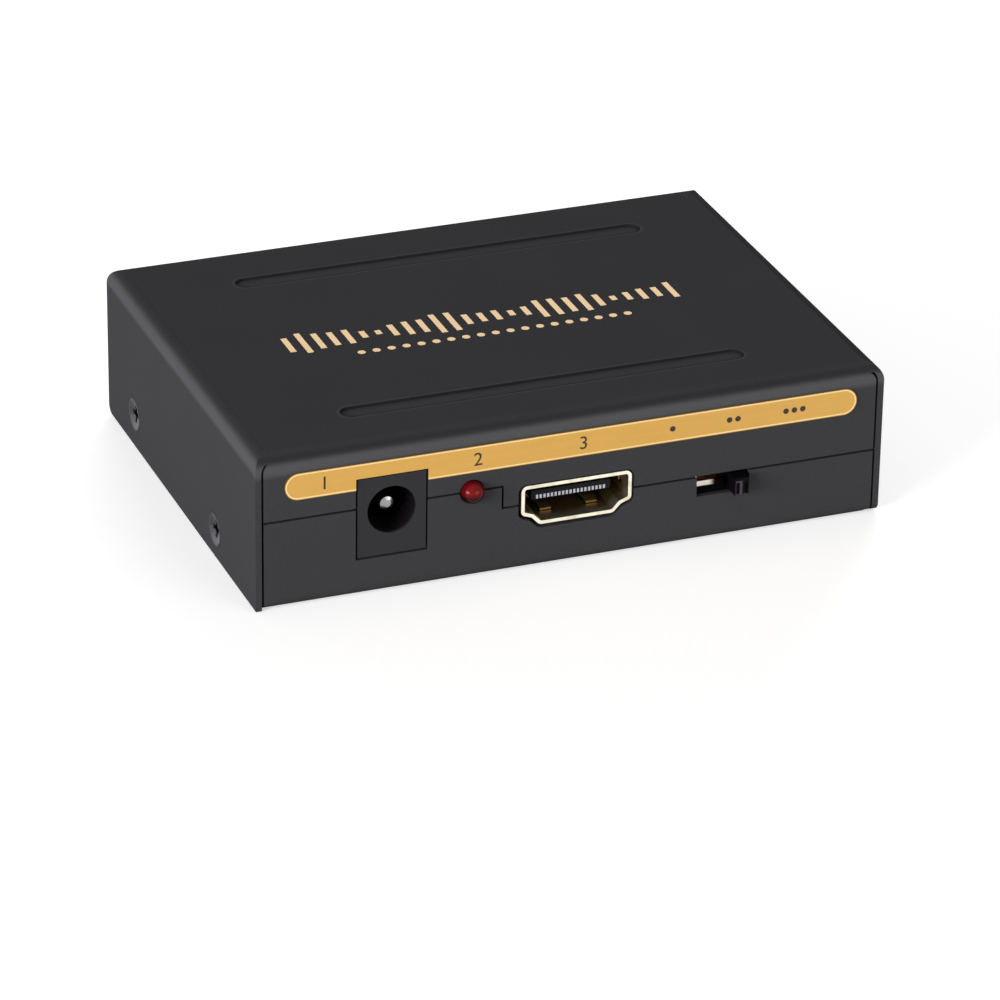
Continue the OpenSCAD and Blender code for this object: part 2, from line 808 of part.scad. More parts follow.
module inlet_spring() {
    color("#b9b9b2") at_front(inlet_x) {
        translate([0, inlet_axis + spring_h / 2, 0]) rotate([90, 0, 0]) linear_extrude(spring_h)
            polygon(spring_points);
        block(spring_t, inlet_axis - tail_z, inlet_tab_w, tail_z, -inlet_l + 1.5 * inlet_tab_w,
            -spring_x);
    }
}

module light_lens(tint) {
    back = -sheet_t - seat;
    color(tint) translate([0, high_line, 0]) rotate_extrude() {
        translate([0, back - lens_flange_t]) square([lens_flange_r, lens_flange_t]);
        translate([0, back]) square([lens_d / 2, lens_out - lens_d / 2 - back]);
        intersection() {
            translate([0, lens_out - lens_d / 2]) circle(d = lens_d);
            translate([0, lens_out - lens_d / 2]) square([lens_d, lens_d]);
        }
    }
}
module light_leads() {
    top = -sheet_t - seat - lens_flange_t;
    color("#bfc0c2") for (s = [-1, 1]) {
        block(lead_w, lead_w, lead_back + top + lead_w / 2, high_line - lead_w / 2, top, s * lead_x);
        block(lead_w, high_line - tail_z, lead_w, tail_z, -lead_back + lead_w / 2, s * lead_x);
    }
}
module power_light_lens() { at_front(power_light_x) light_lens("#8c1418"); }
module power_light_leads() { at_front(power_light_x) light_leads(); }
module link_light_lens() { at_rear(link_light_x) light_lens("#0f5a32"); }
module link_light_leads() { at_rear(link_light_x) light_leads(); }

module video_shell() {
    inside = inset(video_outline(), video_wall);
    radii = [for (r = video_radii) max(r - video_wall, video_wall / 2)];
    color("#e6dcc0") difference() {
        union() {
            translate([0, video_axis, video_out - video_l]) linear_extrude(video_l)
                polygon(rounded(video_outline(), video_radii));
            for (s = [-1, 1], z = leg_places)
                block(video_wall, video_axis - tail_z, leg_w, tail_z, video_out - z + leg_w / 2,
                    s * (video_w - video_wall) / 2);
        }
        translate([0, video_axis, video_out - video_l - cut]) linear_extrude(video_l + 2 * cut)
            polygon(rounded(inside, radii));
        for (s = [-1, 1]) {
            block(finger_w + 2 * finger_gap, video_h + 2 * cut, finger_l,
                video_axis - video_h / 2 - cut, video_out - finger_back, s * finger_x);
            translate([s * video_w / 2, 0, 0]) block(2 * cut, finger_w + finger_gap, finger_l,
                video_axis, video_out - finger_back);
        }
    }
    color("#cda64e") for (up = [0, 1], s = [-1, 1])
        translate([s * finger_x - finger_w / 2, video_axis, 0]) mirror([0, up, 0])
            rotate([0, 90, 0]) linear_extrude(finger_w) video_finger(video_h / 2);
    color("#cda64e") for (s = [0, 1]) mirror([s, 0, 0]) translate([0, video_axis + finger_w, 0])
        rotate([90, 0, 0]) linear_extrude(finger_w - finger_gap) rotate([0, 0, -90])
            video_finger(video_w / 2);
}
// A leaf that leaves the wall at its root and dips into the mouth, x back from the rim and y out
module video_finger(wall) {
    root = finger_back + finger_l + seat - video_out;
    tip = finger_back - video_out + finger_gap;
    polygon([
        [root + finger_t, wall], [root + finger_t, wall - finger_t], [root, wall - finger_t],
        [tip + finger_dip * 3, wall - video_wall - finger_dip - finger_t],
        [tip, wall - video_wall - finger_t], [tip, wall - video_wall],
        [tip + finger_dip * 3, wall - video_wall - finger_dip], [root - finger_t, wall]
    ]);
}
// Contacts in two rows, their noses side by side in the lower half of the tongue's front
tongue_foot = video_axis + tongue_up - tongue_t / 2;
module at_contact(i) {
    translate([(i - (contact_count - 1) / 2) * contact_pitch, 0, 0]) children();
}
function upper(i) = i % 2 == 0;
function row_y(i) = tongue_foot + (upper(i) ? tongue_t - contact_t : 0);
function row_front(i) = video_out - tongue_back - seat - (upper(i) ? nose_l - contact_t : 0);
module contact_front(i, play = 0) {
    block(contact_w + 2 * play, nose_h + 2 * play, nose_l + play + cut * sign(play),
        tongue_foot - play, video_out - tongue_back - seat + cut * sign(play));
    if (upper(i)) block(contact_w + 2 * play, tongue_t + 2 * play, contact_t + 2 * play,
        tongue_foot - play, row_front(i) + play);
}
module video_tongue() {
    back = video_out - video_l;
    color("#1b1b1d") difference() {
        union() {
            translate([0, video_axis, back]) linear_extrude(block_l)
                polygon(rounded(inset(video_outline(), video_wall + seat), [for (r = video_radii) r / 2]));
            block(tongue_w, tongue_t, video_l - tongue_back - block_l / 2, tongue_foot,
                video_out - tongue_back);
            block(video_foot_w + 2 * shoulder_in, video_axis + video_h / 2 - board_top, block_back,
                board_top, back);
        }
        for (i = [0:contact_count - 1]) at_contact(i) {
            block(contact_w + 2 * contact_play, contact_t + 2 * contact_play, video_l + block_back,
                row_y(i) - contact_play, row_front(i) + contact_play);
            contact_front(i, contact_play);
        }
    }
}
module video_contacts() {
    back = video_out - video_l - block_back - contact_play;
    color("#d8b65c") for (i = [0:contact_count - 1]) at_contact(i) {
        block(contact_w, contact_t, row_front(i) - back + contact_t, row_y(i), row_front(i));
        contact_front(i);
        block(contact_w, row_y(i) - board_top + contact_t, contact_t, board_top, back);
        block(contact_w, contact_t, contact_foot, board_top, back);
    }
}
module video_in_shell() { at_front(video_in_x) video_shell(); }
module video_in_tongue() { at_front(video_in_x) video_tongue(); }
module video_in_contacts() { at_front(video_in_x) video_contacts(); }
module video_out_shell() { at_rear(video_out_x) video_shell(); }
module video_out_tongue() { at_rear(video_out_x) video_tongue(); }
module video_out_contacts() { at_rear(video_out_x) video_contacts(); }

// Mode switch: a metal cover over a black foot, with a brown carrier below and behind the slider
function frame_z() = -sheet_t - frame_back;
function slot_y() = knob_axis + stem_up - slot_h / 2;
function back_z() = frame_z() - frame_l + back_t;
function switch_leg_z() = frame_z() - frame_l / 2;
function terminal_z() = frame_z() - frame_l - seat - terminal_t / 2;
function terminal_x(i) = (i - 1.5) * switch_pitch;
travel = 2 * switch_pitch;
module switch_frame() {
    foot = board_top + frame_foot_h;
    h = frame_top_h - frame_foot_h;
    color("#c4c2ba") at_front(switch_x) {
        difference() {
            block(switch_w, h, frame_l, foot, frame_z());
            block(switch_w - 2 * frame_t, h - frame_t + cut, frame_l - frame_t + cut, foot - cut,
                frame_z() - frame_t);
            block(travel + knob_w + 2 * slot_play, slot_h, 2 * cut, slot_y(), frame_z() + cut);
        }
        for (s = [-1, 1]) block(frame_t, foot - tail_z + frame_t, terminal_w * 2, tail_z,
            switch_leg_z() + terminal_w, s * (switch_w - frame_t) / 2);
    }
}
module switch_base() {
    color("#18181a") at_front(switch_x)
        block(switch_w - 2 * frame_t - 2 * seat, frame_foot_h - seat, frame_l, board_top, frame_z());
}
module switch_back() {
    foot = board_top + frame_foot_h;
    w = switch_w - 2 * frame_t - 2 * seat;
    color("#7a4a1e") at_front(switch_x) difference() {
        union() {
            block(w, frame_top_h - frame_foot_h - frame_t - seat, back_t, foot, back_z());
            block(w, plate_h, frame_l - frame_t - seat, foot, frame_z() - frame_t - seat);
        }
        for (i = [0:3]) translate([terminal_x(i), knob_axis + stem_up, back_z() - back_t - cut])
            cylinder(r = rivet_r + seat, h = back_t + 2 * cut);
    }
}
module switch_terminals() {
    color("#c9c7bf") at_front(switch_x) for (i = [0:3]) {
        translate([terminal_x(i), knob_axis + stem_up, back_z() - back_t - seat - terminal_t / 2])
            cylinder(r = rivet_r, h = back_t + seat + terminal_t / 2);
        block(terminal_w, knob_axis + stem_up + rivet_r - tail_z, terminal_t, tail_z,
            terminal_z() + terminal_t / 2, terminal_x(i));
    }
}
// The knob rests at the right end of its travel
module at_knob() {
    at_front(switch_x + switch_pitch) children();
}
module switch_knob() {
    inner_z = frame_z() - frame_t - slide_play;
    foot = board_top + frame_foot_h + plate_h + slide_play;
    color("#1c1b20") at_knob() {
        difference() {
            block(knob_w, knob_h, knob_out - frame_z() - slide_play, knob_axis - knob_h / 2, knob_out);
            for (s = [-1, 1]) block(knob_ridge_w, knob_h * knob_ridge_share + cut, knob_ridge + cut,
                knob_axis - knob_h / 2 - cut, knob_out + cut, s * knob_ridge_w);
        }
        block(knob_w, stem_h, frame_t + 3 * slide_play, knob_axis + stem_up - stem_h / 2,
            frame_z() + 2 * slide_play);
        block(slider_w, slider_h, slider_l - wiper_t, foot, inner_z);
    }
}
module switch_wiper() {
    z = frame_z() - frame_t - slide_play - slider_l + wiper_t;
    color("#d8b65c") at_knob() {
        block(slider_w - 2 * slide_play, slider_h / 2, wiper_t, knob_axis + stem_up - slider_h / 4, z);
        for (s = [-1, 1]) translate([s * switch_pitch / 2, knob_axis + stem_up, z - wiper_t - wiper_t / 2])
            cylinder(r = rivet_r, h = wiper_t);
    }
}

// Optical port, with a shutter hung from a pin at the top of its mouth
mouth_top = optical_axis + optical_h / 2 - lip;
mouth_foot = mouth_top - mouth_h;
hinge_y = mouth_top - hinge_r - shutter_play;
function emitter_lead_z() = -optical_l - seat - lead_w / 2;
module mouth_shape(gap) {
    w = mouth_w / 2 - gap;
    polygon(rounded([[-w, mouth_foot + gap], [w, mouth_foot + gap], [w, mouth_top], [-w, mouth_top]],
        [mouth_corner - gap, mouth_corner - gap, 0, 0]));
}
module optical_housing() {
    foot = optical_axis - optical_h / 2;
    color("#2a2a2e") at_rear(optical_x) difference() {
        union() {
            block(optical_w, optical_h, frame_depth, foot);
            block(optical_w, foot + optical_h - lip / 2 - board_top, optical_l - frame_depth,
                board_top, -frame_depth);
        }
        difference() {
            translate([0, 0, -mouth_l]) linear_extrude(mouth_l + cut) mouth_shape(0);
            translate([0, optical_axis, -mouth_l - cut]) cylinder(r = ferrule_r, h = ferrule_l + cut);
        }
        translate([0, optical_axis, -optical_l]) cylinder(r = ferrule_hole_r, h = optical_l);
        for (s = [-1, 1]) translate([s * mouth_w / 2, optical_axis - notch_up, -notch_l])
            cylinder(r = notch_r, h = notch_l + cut);
        for (s = [-1, 1]) block(2 * clip_w, clip_h, frame_depth + cut, foot + clip_up, cut,
            s * optical_w / 2);
        translate([-mouth_w / 2 - pin_over, hinge_y, -shutter_back]) rotate([0, 90, 0])
            cylinder(r = hinge_pin_r + pin_play, h = mouth_w + 2 * pin_over);
        block(emitter_w + 2 * seat, emitter_h + 2 * seat, emitter_l + cut,
            optical_axis - emitter_h / 2 - seat, -optical_l + emitter_l);
    }
}
module optical_shutter() {
    w = mouth_w - 2 * shutter_play;
    pocket_x = w / 2 - coil_l;
    color("#3a3a3f") at_rear(optical_x) difference() {
        union() {
            intersection() {
                translate([0, 0, -shutter_back - shutter_t / 2]) linear_extrude(shutter_t)
                    mouth_shape(shutter_play);
                block(mouth_w, hinge_y - mouth_foot, optical_l, mouth_foot, 0);
            }
            translate([0, 0, -shutter_back]) block(rib_w, rib_h, shutter_t / 2 + rib_out,
                mouth_foot + shutter_play, shutter_t / 2 + rib_out);
            translate([-w / 2, hinge_y, -shutter_back]) rotate([0, 90, 0])
                cylinder(r = hinge_r, h = w);
        }
        translate([-w, hinge_y, -shutter_back]) rotate([0, 90, 0])
            cylinder(r = hinge_pin_r + hinge_play, h = 2 * w);
        translate([pocket_x, hinge_y, -shutter_back]) rotate([0, 90, 0])
            cylinder(r = coil_r + wire_r + coil_play, h = coil_l + cut);
        translate([pocket_x, hinge_y - hinge_r - shutter_play, -shutter_back - hinge_r - cut])
            cube([coil_l + cut, 2 * hinge_r + 2 * shutter_play, hinge_r - shutter_t / 2 + cut]);
    }
}
module shutter_pin() {
    l = mouth_w + 2 * pin_over - 2 * seat;
    color("#c4c6ca") at_rear(optical_x) translate([-l / 2, hinge_y, -shutter_back])
        rotate([0, 90, 0]) cylinder(r = hinge_pin_r, h = l);
}
// One wire: a leg down the shutter's back, three turns round the pin and a short hook
function coil_point(i) =
    let (a = 360 * i / coil_steps, x = mouth_w / 2 - shutter_play - coil_l + 2 * wire_r
        + (coil_l - 4 * wire_r) * i / (coil_steps * coil_turns))
    [x, hinge_y + coil_r * sin(a), -shutter_back - coil_r * cos(a)];
spring_path = concat(
    [coil_point(0) - [0, spring_leg, 0]],
    [for (i = [0:coil_steps * coil_turns]) coil_point(i)],
    [coil_point(coil_steps * coil_turns) + [0, spring_hook, 0]]
);
module shutter_spring() {
    color("#c0c2c6") at_rear(optical_x) wire(spring_path, wire_r, 6);
}
// A round wire along a path of points
function along(p, i) = unit(p[min(i + 1, len(p) - 1)] - p[max(i - 1, 0)]);
module wire(p, r, sides) {
    rings = [for (i = [0:len(p) - 1])
        let (t = along(p, i), u = unit(cross(t, abs(t.x) < 0.9 ? [1, 0, 0] : [0, 1, 0])), v = cross(t, u))
        for (k = [0:sides - 1]) p[i] + r * (u * cos(360 * k / sides) + v * sin(360 * k / sides))];
    last = (len(p) - 1) * sides;
    polyhedron(rings, concat(
        [[for (k = [0:sides - 1]) k]],
        [for (i = [0:len(p) - 2], k = [0:sides - 1]) let (a = i * sides, n = (k + 1) % sides)
            each [[a + n, a + k, a + sides + k], [a + n, a + sides + k, a + sides + n]]],
        [[for (k = [sides - 1:-1:0]) last + k]]
    ));
}
module light_emitter() {
    front = -optical_l + emitter_l - seat;
    color("#141416") at_rear(optical_x) {
        block(emitter_w, emitter_h, emitter_l, optical_axis - emitter_h / 2, front);
        translate([0, optical_axis, front]) cylinder(r = emitter_lens_r, h = seat + 0.5 * emitter_lens_r);
    }
}
module emitter_leads() {
    color("#bfc0c2") at_rear(optical_x) for (i = [-1:1])
        block(lead_w, optical_axis - tail_z, lead_w, tail_z, emitter_lead_z() + lead_w / 2,
            i * emitter_lead_pitch);
}

// Phono jacks: one block with two metal shells, each round a coloured insulator
function block_face() = -sheet_t - block_back_gap;
function phono_tab_z() = block_face() - phono_block_l - seat - inlet_tab_t / 2;
module phono_block() {
    mid = (phono_left_x + phono_right_x) / 2;
    w = phono_right_x - phono_left_x + 2 * block_w_over;
    color("#1a1a1c") at_rear() difference() {
        block(w, high_line + phono_block_up - board_top, phono_block_l, board_top, block_face(), mid);
        for (x = [phono_left_x, phono_right_x]) translate([x, high_line, 0]) {
            translate([0, 0, block_face() - shell_root])
                cylinder(r = phono_r - shell_neck + seat, h = shell_root + cut);
            translate([0, 0, block_face() - phono_block_l - cut])
                cylinder(r = phono_hole_r + sleeve_wall + seat, h = phono_block_l);
        }
    }
}
module phono_shell() {
    inner = phono_r - shell_wall;
    root = block_face() - shell_root + seat;
    color("#d9dadd") translate([0, high_line, 0]) rotate_extrude() polygon([
        [phono_face_r, phono_out], [phono_r - shell_chamfer, phono_out],
        [phono_r, phono_out - shell_chamfer], [phono_r, shell_step],
        [phono_r - shell_neck, shell_step], [phono_r - shell_neck, root], [inner, root],
        [inner, phono_out - shell_wall], [phono_face_r, phono_out - shell_wall]
    ]);
}
module phono_insulator(tint) {
    inner = phono_r - shell_wall - seat;
    root = block_face() - shell_root + seat;
    nose = phono_out - face_back;
    color(tint) translate([0, high_line, 0]) rotate_extrude() polygon([
        [phono_hole_r + entry_w, nose], [phono_face_r - seat, nose],
        [phono_face_r - seat, phono_out - shell_wall - seat], [inner, phono_out - shell_wall - seat],
        [inner, root], [phono_hole_r, root], [phono_hole_r, nose - entry_w]
    ]);
}
module phono_contact() {
    r = phono_hole_r;
    root = block_face() - shell_root;
    back = block_face() - phono_block_l - seat;
    color("#cfae5a") {
        translate([0, high_line, back]) difference() {
            cylinder(r = r + sleeve_wall, h = root - back);
            translate([0, 0, -cut]) cylinder(r = r, h = root - back + 2 * cut);
            translate([-recess_w / 2, 0, cut]) cube([recess_w, 2 * r, root - back]);
        }
        block(contact_tab_w, high_line - tail_z + r, inlet_tab_t, tail_z, back);
    }
}
module phono_left_shell() { at_rear(phono_left_x) phono_shell(); }
module phono_left_insulator() { at_rear(phono_left_x) phono_insulator("#f0f0ee"); }
module phono_left_contact() { at_rear(phono_left_x) phono_contact(); }
module phono_right_shell() { at_rear(phono_right_x) phono_shell(); }
module phono_right_insulator() { at_rear(phono_right_x) phono_insulator("#d8392e"); }
module phono_right_contact() { at_rear(phono_right_x) phono_contact(); }

// Parts soldered to the board
module on_board(shares) {
    translate([shares.x * case_w, shares.y * case_d, board_top]) children();
}
module gull_leads(count, pitch, reach, body_h) {
    for (i = [0:count - 1]) translate([(i - (count - 1) / 2) * pitch + gull_w / 2, reach, 0])
        rotate([0, -90, 0]) linear_extrude(gull_w) polygon([
            [0, gull_out], [gull_t, gull_out], [gull_t, gull_out / 2], [body_h / 2, gull_out / 2],
            [body_h / 2, 0], [body_h / 2 - gull_t, 0], [body_h / 2 - gull_t, gull_out / 2 - gull_t],
            [0, gull_out / 2 - gull_t]
        ]);
}
module main_processor() {
    color("#1d1d1f") on_board(processor_shares)
        translate([-processor_w / 2, -processor_w / 2, seat])
            cube([processor_w, processor_w, processor_t]);
}
module processor_leads() {
    color("#bfc0c2") on_board(processor_shares) for (turn = [0:90:270])
        rotate([0, 0, turn]) gull_leads(processor_lead_count, lead_pitch, processor_w / 2, processor_t);
}
module audio_converter() {
    color("#1d1d1f") on_board(converter_shares)
        translate([-converter_l / 2, -converter_w / 2, seat])
            cube([converter_l, converter_w, converter_t]);
}
module converter_leads() {
    color("#bfc0c2") on_board(converter_shares) for (turn = [0, 180])
        rotate([0, 0, turn])
            gull_leads(converter_lead_count, converter_pitch, converter_w / 2, converter_t);
}
module crystal() {
    color("#c6c8cc") on_board(crystal_shares) {
        linear_extrude(crystal_rim) obround(crystal_l + 2 * crystal_rim, crystal_w + 2 * crystal_rim);
        linear_extrude(crystal_h) obround(crystal_l, crystal_w);
    }
}
module voltage_regulator() {
    color("#1d1d1f") on_board(regulator_shares)
        translate([-regulator_w / 2, -regulator_d / 2, 0]) cube([regulator_w, regulator_d, regulator_h]);
}
module power_inductor() {
    color("#3c3c40") on_board(inductor_shares) difference() {
        translate([-inductor_w / 2, -inductor_w / 2, 0]) cube([inductor_w, inductor_w, inductor_h]);
        translate([0, 0, inductor_h - recess_depth]) cylinder(r = inductor_w / 4, h = recess_depth + cut);
    }
}
module filter_capacitors() {
    color("#c6c8cc") for (p = can_shares) on_board(p) {
        translate([-can_r, -can_r, 0]) cube([2 * can_r, 2 * can_r, can_base]);
        cylinder(r = can_r, h = can_h);
    }
}
module chip_parts() {
    color("#a98b62") for (p = chip_shares) on_board(p)
        translate([-chip_l / 2, -chip_w / 2, 0]) cube([chip_l, chip_w, chip_t]);
}

top_cover();
bottom_tray();
case_screws();
input_label();
output_label();
circuit_board();
board_standoffs();
board_screws();
inlet_housing();
inlet_pin();
inlet_spring();
power_light_lens();
power_light_leads();
link_light_lens();
link_light_leads();
video_in_shell();
video_in_tongue();
video_in_contacts();
video_out_shell();
video_out_tongue();
video_out_contacts();
switch_frame();
switch_base();
switch_back();
switch_terminals();
switch_knob();
switch_wiper();
optical_housing();
optical_shutter();
shutter_pin();
shutter_spring();
light_emitter();
emitter_leads();
phono_block();
phono_left_shell();
phono_left_insulator();
phono_left_contact();
phono_right_shell();
phono_right_insulator();
phono_right_contact();
main_processor();
processor_leads();
audio_converter();
converter_leads();
crystal();
voltage_regulator();
power_inductor();
filter_capacitors();
chip_parts();
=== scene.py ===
import math

import bmesh
import bpy
from bpy.props import FloatProperty, FloatVectorProperty, IntProperty, PointerProperty
from mathutils import Matrix, Vector


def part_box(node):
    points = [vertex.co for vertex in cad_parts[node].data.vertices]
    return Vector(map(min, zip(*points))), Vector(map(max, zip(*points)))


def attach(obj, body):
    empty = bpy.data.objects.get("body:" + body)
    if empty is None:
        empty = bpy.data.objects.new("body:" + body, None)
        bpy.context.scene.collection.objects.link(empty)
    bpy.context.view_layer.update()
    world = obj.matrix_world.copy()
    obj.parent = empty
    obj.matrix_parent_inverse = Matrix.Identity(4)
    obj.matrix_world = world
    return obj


bl_info = {
    "name": "Audio extractor box",
    "version": (1, 0, 0),
    "blender": (4, 5, 0),
    "location": "View3D > Sidebar > Audio box",
    "description": "Paint, prints, sockets, lights and studio for a small folded-steel audio box",
    "category": "Object",
}

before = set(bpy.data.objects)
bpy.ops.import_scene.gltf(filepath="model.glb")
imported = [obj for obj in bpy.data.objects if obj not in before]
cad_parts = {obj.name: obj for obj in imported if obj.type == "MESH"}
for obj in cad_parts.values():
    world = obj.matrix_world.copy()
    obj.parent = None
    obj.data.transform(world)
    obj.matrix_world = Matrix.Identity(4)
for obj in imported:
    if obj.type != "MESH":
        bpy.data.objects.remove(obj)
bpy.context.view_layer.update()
MM = 0.001
# Outer radius of the bends round the top, in metres
FOLD = 2.3 * MM

# From here to the studio's values, lengths are in millimetres
# Middle and length of each pressed groove, and their width
GROOVES = ((-0.8, -21.6, 54.0), (0.5, 19.5, 56.5))
GROOVE_W = 2.7
# Places of the two screws on the left end, their heads' radius, and the depth of the recess
NEAR_SCREW = (-14.3, 3.8)
FAR_SCREW = (19.2, 4.6)
SCREW_HEAD_R = 2.0
SCREW_RECESS = 0.3
# Where the pale line lies on a strip, and where the dark edge starts to fade, from the outline
STRIP_LINE = (0.16, 0.34)
STRIP_EDGE = 0.06
# What is drawn on the strips: places along them, seen from outside, and a number or some dots
STRIP_MARKS = {
    "input_label": ((-33.1, "1"), (-13.0, "2"), (1.0, "3"), (13.0, 1), (21.3, 2), (29.6, 3)),
    "output_label": ((-25.0, "4"), (-4.9, "5"), (9.4, "6"), (23.2, "7")),
}
DOT_PITCH = 1.15
DOT_R = 0.38
# Middles of the meter's bars and of its dots, and a dot's radius as a share of a bar's width
BARS_AT = (-1.2, -0.6)
DOTS_AT = (-1.2, -5.6)
METER_DOT = 0.66
# Where the switch's frame shows bright: above this height over the board, left of the slider;
# elsewhere it gets painted shade
FRAME_FOOT = 1.95
FRAME_RIGHT = 18.6
# The knob's ridge, whose face gets a painted highlight, as shares of the knob's width, and its top
# as a share of the height
KNOB_RIDGE = (0.3, 0.52)
KNOB_RIDGE_TOP = 0.6
# Half the width of the shutter's rib, and the height of its top over the floor
RIB_HALF_W = 1.22
RIB_TOP = 14.3
# Height of the optical port, and its mouth's place and size
PORT_H = 10.2
MOUTH_HALF_W = 2.95
MOUTH_HALF_H = 4.0
MOUTH_UP = 0.6
MOUTH_CORNER = 1.0

# Name, size and place of each lamp, half the floor's width, and how far the camera is shifted
# sideways and up, in metres
LAMPS = (
    ("key", (0.7, 0.4), (-1.05, -0.45, 0.26)),
    ("fill", (0.8, 0.4), (0.5, -1.0, 0.25)),
    ("back", (0.8, 0.4), (0.45, 1.0, 0.28)),
)
FLOOR_HALF_W = 6.0
CAMERA_SHIFT = (1.705 * MM, -5.146 * MM)


def display(red, green, blue):
    """The linear colour of a display colour given as three numbers from 0 to 255."""
    shares = (red / 255, green / 255, blue / 255)
    return tuple(c / 12.92 if c <= 0.04045 else ((c + 0.055) / 1.055) ** 2.4 for c in shares)


class Wire:
    """One output of a node, with the sums that can be done on it."""

    def __init__(self, graph, socket):
        self.graph = graph
        self.socket = socket

    def sum(self, operation, *values):
        return self.graph.node(
            "ShaderNodeMath", {"operation": operation}, {i: v for i, v in enumerate(values)}
        )

    def __add__(self, other):
        return self.sum("ADD", self, other)

    def __sub__(self, other):
        return self.sum("SUBTRACT", self, other)

    def __mul__(self, other):
        return self.sum("MULTIPLY", self, other)

    def __truediv__(self, other):
        return self.sum("DIVIDE", self, other)

    def __radd__(self, other):
        return self.sum("ADD", other, self)

    def __rsub__(self, other):
        return self.sum("SUBTRACT", other, self)

    def __rmul__(self, other):
        return self.sum("MULTIPLY", other, self)

    def __rtruediv__(self, other):
        return self.sum("DIVIDE", other, self)

    def __abs__(self):
        return self.sum("ABSOLUTE", self)

    def at_least(self, other):
        return self.sum("MAXIMUM", self, other)

    def at_most(self, other):
        return self.sum("MINIMUM", self, other)

    def root(self):
        return self.sum("SQRT", self)

    def wave(self):
        return self.sum("SINE", self)

    def sign(self):
        return self.sum("SIGN", self)

    def above(self, low, high):
        """Nought below low, one above high and a smooth rise between."""
        return self.graph.node(
            "ShaderNodeMapRange",
            {"interpolation_type": "SMOOTHSTEP"},
            {"Value": self, "From Min": low, "From Max": high},
        )

    def between(self, low, high, soft):
        """One from low to high, with soft edges."""
        return self.above(low - soft, low + soft) * (1 - self.above(high - soft, high + soft))


class Graph:
    """A node tree, and the one way in which nodes are put into it."""

    def __init__(self, tree):
        self.tree = tree

    def node(self, kind, settings=None, inputs=None, out=0):
        """A node with its settings, then the values or links of its sockets."""
        made = self.tree.nodes.new(kind)
        for name, value in (settings or {}).items():
            setattr(made, name, value)
        for name, value in (inputs or {}).items():
            wires = value if isinstance(value, list) else [value]
            if isinstance(wires[0], Wire):
                for wire in wires:
                    self.tree.links.new(wire.socket, made.inputs[name])
            elif value is not None:
                made.inputs[name].default_value = value
        return Wire(self, made.outputs[out]) if made.outputs else None

    def mix(self, share, one, other):
        """A colour that goes from one to the other as the share rises."""
        colours = [c if isinstance(c, Wire) else (*c, 1.0) for c in (one, other)]
        return self.node(
            "ShaderNodeMix",
            {"data_type": "RGBA", "clamp_factor": True},
            {0: share, 6: colours[0], 7: colours[1]},
            out=2,
        )


class Finish(Graph):
    """A material in the making, with the object's own coordinates at hand."""

    def __init__(self, name):
        self.material = bpy.data.materials.new(name)
        self.material.use_nodes = True
        super().__init__(self.material.node_tree)
        self.tree.nodes.clear()
        self.place = self.node("ShaderNodeTexCoord", out="Object")
        self.x = self.axis("X")
        self.y = self.axis("Y")
        self.z = self.axis("Z")

    def axis(self, name):
        return self.node("ShaderNodeSeparateXYZ", inputs={0: self.place}, out=name)

    def noise(self, size, detail=2.0, stretch=(1, 1, 1), rough=0.5):
        """Noise from 0 to 1, whose lumps are about as wide as size, in metres."""
        place = self.node(
            "ShaderNodeMapping", inputs={"Vector": self.place, "Scale": Vector(stretch) / size}
        )
        return self.node(
            "ShaderNodeTexNoise",
            inputs={"Vector": place, "Scale": 1.0, "Detail": detail, "Roughness": rough},
        )

    def cells(self, size):
        """Distance to the nearest of scattered points, about size apart, in metres."""
        place = self.node(
            "ShaderNodeMapping", inputs={"Vector": self.place, "Scale": Vector((1, 1, 1)) / size}
        )
        return self.node("ShaderNodeTexVoronoi", inputs={"Vector": place, "Scale": 1.0})

    def bump(self, height, depth, strength, under=None):
        """A normal whose relief is depth high, in metres, laid over another one if given."""
        inputs = {"Height": height, "Distance": depth, "Strength": strength, "Normal": under}
        return self.node("ShaderNodeBump", inputs=inputs)

    def surface(self, **sockets):
        """Ends the material in a shader whose sockets are named with low bars for spaces."""
        inputs = {}
        for name, value in sockets.items():
            name = name.replace("_", " ").replace("ior", "IOR")
            is_colour = isinstance(value, tuple) and len(value) == 3
            inputs[name] = (*value, 1.0) if is_colour else value
        shader = self.node("ShaderNodeBsdfPrincipled", inputs=inputs)
        self.node("ShaderNodeOutputMaterial", inputs={"Surface": shader})
        return self.material


def reach(one, other):
    """How far a place lies from a middle, from its distances along two axes."""
    return (one * one + other * other).root()


def wear(names, material):
    """Puts a material on CAD nodes, whose meshes stay as they are."""
    for name in names:
        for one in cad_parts[name].material_slots:
            one.material = material


def middle(node, axis):
    """Middle of a solid along an axis, in metres."""
    low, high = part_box(node)
    return (low[axis] + high[axis]) / 2


def length(node, axis):
    """Length of a solid along an axis, in metres."""
    low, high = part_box(node)
    return high[axis] - low[axis]


def face_of(node, outwards):
    """Place on Y of a solid's outer face, which looks to -Y or +Y as outwards is -1 or 1."""
    low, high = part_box(node)
    return high[1] if outwards > 0 else low[1]


